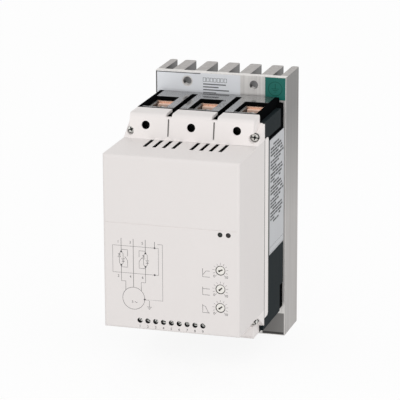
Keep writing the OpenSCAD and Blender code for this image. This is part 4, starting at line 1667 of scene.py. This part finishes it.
    def scales(self, pen: Pen) -> Pen:
        """Draws the ticks round the dials."""
        strokes = []
        for x, z in self.dial_places():
            for step in range(self.scale_steps + 1):
                angle = math.radians(self.scale_angle * (2 * step / self.scale_steps - 1))
                strokes.append([(x + radius * math.sin(angle), z + radius * math.cos(angle))
                                for radius in (self.scale_inner, self.scale_outer)])
        pen.lines(strokes)
        return pen

    def numbers(self, pen: Pen) -> Pen:
        """Draws the plain numbers at the poles, the motor, the dials and the control terminals."""
        numbers = [(str(2 * pole + first), (x + self.pole_digit_step, z))
                   for first, z in self.pole_digits for pole, x in enumerate(self.poles)]
        figure, step = self.motor_digit
        numbers.append((figure, (self.motor[0] + step[0], self.motor[1] + step[1])))
        for x, z in self.dial_places():
            numbers += [(figure, (x + step[0], z + step[1])) for figure, step in self.dial_digits]
        screws = ControlTerminals().places()
        numbers += [(str(screw + 1), (place[0] / MM, self.screw_digit_height))
                    for screw, place in enumerate(screws)]
        pen.numbers([(figures, place, self.digit) for figures, place in numbers])
        return pen


@dataclass
class PlateLabels:
    """Print on the three labels, painted shadow lines along the silver label's edges, and a field on the
    plate's lower right corner darkened as painted shade, in millimetres.
    """

    line: float = 0.3 * MM
    border: float = 1.2
    rows: int = 25
    row_start: float = 3.5
    row_pitch: float = 2.6
    row_height: float = 1.5
    row_inset: float = 1.5
    row_gap: int = 8
    words: Tuple[float, ...] = (7, 11, 5, 14, 8.5, 4)
    word_space: float = 1.1
    box_height: float = 4.5
    heading: Oblong = ((-14.3, 100.3), (-12.2, 103.4))
    heading_pen: float = 1.7
    heading_marks: int = 7
    heading_pitch: float = 2.9
    text_rows: int = 4
    text_start: float = 98.8
    text_pitch: float = 2.3
    text_height: float = 1.0
    text_ends: Tuple[float, ...] = (4.6, -1.5, 7.2, -3.4)
    earth_pen: float = 2
    earth_lines: Tuple[Oblong, ...] = (
        ((0, 4), (0, 0)), ((-3, 0), (3, 0)), ((-2, -1.3), (2, -1.3)), ((-1, -2.6), (1, -2.6)))
    earth_ring: float = 5.6
    # Painted shadow lines along the silver label's left and top edges
    edge_shadow_lines: Tuple[Oblong, ...] = (
        ((-53.55, 89.0), (-52.75, 106.85)), ((-52.75, 106.2), (-16.5, 106.8)))
    # A plain field on the plate's lower right corner, darkened as painted shade
    shaded_label_field: Tuple[Oblong, ...] = (((35.4, -104.8), (53.4, -88.6)),)
    lower_bar: Tuple[Oblong, ...] = (((35.4, -106.8), (53.4, -104.8)),)

    def build(self) -> None:
        """Prints the three labels, the painted shadow lines and the plain fields; the lower field's darker
        tone is painted shade.
        """
        label = self.plate_face()
        self.side(Pen(self.side_face(), self.line)).finish("side_label_print", mixed_ink("label_ink"))
        heading = self.top(Pen(label, self.heading_pen * self.line))
        heading.finish("top_label_print", mixed_ink("top_label_ink"))
        plate = PrintFace((0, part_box("heat_sink")[0].y, 0))
        fields = {"top_label_edge_shadow": (label, self.edge_shadow_lines), "shaded_label_field": (plate, self.shaded_label_field),
                  "lower_bar": (plate, self.lower_bar)}
        for name, (face, bars) in fields.items():
            pen = Pen(face, self.line)
            pen.bars(bars)
            pen.finish(name, mixed_ink(f"{name}_ink"))
        mark = self.earth(Pen(label, self.earth_pen * self.line))
        mark.finish("earth_label_print", mixed_ink("earth_ink"))

    @staticmethod
    def side_face() -> PrintFace:
        """Gives the side label's face."""
        return PrintFace((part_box("side_label")[1].x, 0, 0), (0, 1, 0))

    @staticmethod
    def plate_face() -> PrintFace:
        """Gives the face of both plate labels."""
        return PrintFace((0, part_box("top_label")[0].y, 0))

    def side(self, pen: Pen) -> Pen:
        """Draws rows of short bars and a lined box on the side label."""
        low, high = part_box("side_label")
        front, back = low.y / MM + self.border, high.y / MM - self.border
        top, foot = high.z / MM - self.border, low.z / MM + self.border
        bars = []
        for row in range(self.rows):
            place = front + self.row_inset
            up = top - self.row_start - self.row_pitch * row
            step = row
            while place + self.words[step % len(self.words)] < back:
                length = self.words[step % len(self.words)]
                if (row + step) % self.row_gap:
                    bars.append(((place, up - self.row_height), (place + length, up)))
                place += length + self.word_space
                step += 1
        pen.bars(bars)
        box = [(front, foot), (back, foot + self.box_height)]
        pen.lines([oblong_line(*box)])
        return pen

    def top(self, pen: Pen) -> Pen:
        """Draws a heading of open blocks and rows of thin bars on the silver label."""
        low, high = self.heading
        steps = [self.heading_pitch * mark for mark in range(self.heading_marks)]
        pen.lines([oblong_line((low[0] + step, low[1]), (high[0] + step, high[1])) for step in steps])
        tops = [self.text_start - self.text_pitch * row for row in range(self.text_rows)]
        rows = [((low[0], top - self.text_height), (end, top)) for top, end in zip(tops, self.text_ends)]
        pen.bars(rows)
        return pen

    def earth(self, pen: Pen) -> Pen:
        """Draws an earth mark in a ring."""
        low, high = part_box("earth_label")
        x, z = (low.x + high.x) / 2 / MM, (low.z + high.z) / 2 / MM
        strokes = [[(x + across, z + up) for across, up in line] for line in self.earth_lines]
        pen.lines(strokes, [((x, z), self.earth_ring)])
        return pen


@dataclass
class Studio:
    """Pale floor, soft light and the camera."""

    target: Triple = (0.0, -89 * MM, 0.0)
    azimuth: float = math.radians(16.48)
    elevation: float = math.radians(16.18)
    roll: float = math.radians(-0.18)
    distance: float = 1885.6 * MM
    focal: float = 2388.6
    image: float = 400
    centre: Tuple[float, float] = (204.12, 219.31)
    sensor: float = 36
    floor_size: float = 12.0
    floor_tone: float = 0.876
    shadow_share: float = 0.1
    sky: float = 0.8
    key_azimuth: float = math.radians(20)
    key_elevation: float = math.radians(21)
    key_distance: float = 2.2
    key_size: float = 2.0
    key_share: float = 0.241

    def white_rays(self, tree: ShaderTree) -> Socket:
        """Gives 1 for rays that see the background itself."""
        path = tree.node("ShaderNodeLightPath", output="Is Camera Ray")
        return path | path.other("Is Glossy Ray") | path.other("Is Transmission Ray")

    def build_world(self) -> None:
        """Makes the white surroundings."""
        world = bpy.data.worlds.new("studio")
        bpy.context.scene.world = world
        tree = ShaderTree(world)
        light = tree.node("ShaderNodeBackground", inputs={"Color": WHITE, "Strength": self.sky})
        white = tree.node("ShaderNodeBackground", inputs={"Color": WHITE, "Strength": 1.0})
        both = tree.node("ShaderNodeMixShader", inputs={0: self.white_rays(tree), 1: light, 2: white})
        tree.node("ShaderNodeOutputWorld", inputs={"Surface": both})

    def build_floor(self) -> None:
        """Makes the floor that the heat sink stands on."""
        bpy.ops.object.select_all(action="DESELECT")
        bpy.ops.mesh.primitive_plane_add(size=self.floor_size, location=(0, 0, CAD_BOX[0].z))
        floor = bpy.context.object
        floor.name = "studio_floor"
        material = bpy.data.materials.new("studio_floor")
        tree = ShaderTree(material)
        seen = self.white_rays(tree)
        tone = tree.mix(seen, shade(WHITE, self.floor_tone), WHITE)
        matt = tree.node("ShaderNodeBsdfDiffuse", inputs={"Color": tone})
        white = tree.node("ShaderNodeEmission", inputs={"Color": WHITE, "Strength": 1.0})
        share = seen * (1 - self.shadow_share)
        both = tree.node("ShaderNodeMixShader", inputs={0: share, 1: matt, 2: white})
        tree.node("ShaderNodeOutputMaterial", inputs={"Surface": both})
        floor.data.materials.append(material)

    def build_key(self) -> None:
        """Adds a soft lamp in front, which gives a facing white surface its share of full white."""
        away = outward(self.key_azimuth, self.key_elevation)
        place = Vector(self.target) + self.key_distance * away
        turn = away.to_track_quat("Z", "Y").to_euler()
        bpy.ops.object.select_all(action="DESELECT")
        bpy.ops.object.light_add(type="AREA", location=place, rotation=turn)
        lamp = bpy.context.object
        lamp.name = "key_lamp"
        lamp.data.size = self.key_size
        lamp.data.energy = self.key_share * (math.pi * self.key_distance) ** 2

    def build_camera(self) -> None:
        """Sets the camera at the photograph's viewing angle."""
        back = outward(self.azimuth, self.elevation)
        level = Vector((math.cos(self.azimuth), math.sin(self.azimuth), 0))
        above = back.cross(level)
        right = level * math.cos(self.roll) + above * math.sin(self.roll)
        up = above * math.cos(self.roll) - level * math.sin(self.roll)
        bpy.ops.object.select_all(action="DESELECT")
        bpy.ops.object.camera_add()
        camera = bpy.context.object
        turn = Matrix((right, up, back)).transposed().to_4x4()
        camera.matrix_world = Matrix.Translation(Vector(self.target) + back * self.distance) @ turn
        camera.data.sensor_width = self.sensor
        camera.data.lens = self.focal / self.image * self.sensor
        camera.data.shift_x = (self.image / 2 - self.centre[0]) / self.image
        camera.data.shift_y = (self.centre[1] - self.image / 2) / self.image
        camera.data.clip_end = self.floor_size
        bpy.context.scene.camera = camera

    def build(self) -> None:
        """Builds the whole studio."""
        bpy.context.scene.view_settings.view_transform = "Standard"
        self.build_world()
        self.build_floor()
        self.build_key()
        self.build_camera()
        LOG.info("studio ready")


def main() -> None:
    """Builds the studio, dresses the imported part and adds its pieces."""
    logging.basicConfig(level=logging.INFO, format="%(message)s")
    Studio().build()
    dresser = Dresser()
    dresser.dress_nodes()
    for assembly in (BrokenEdges(), SettingDials(), IndicatorLamps(), CoverScrews(), ControlTerminals()):
        assembly.build(dresser)
    FrontPrint().build()
    PlateLabels().build()


if __name__ == "__main__":
    main()
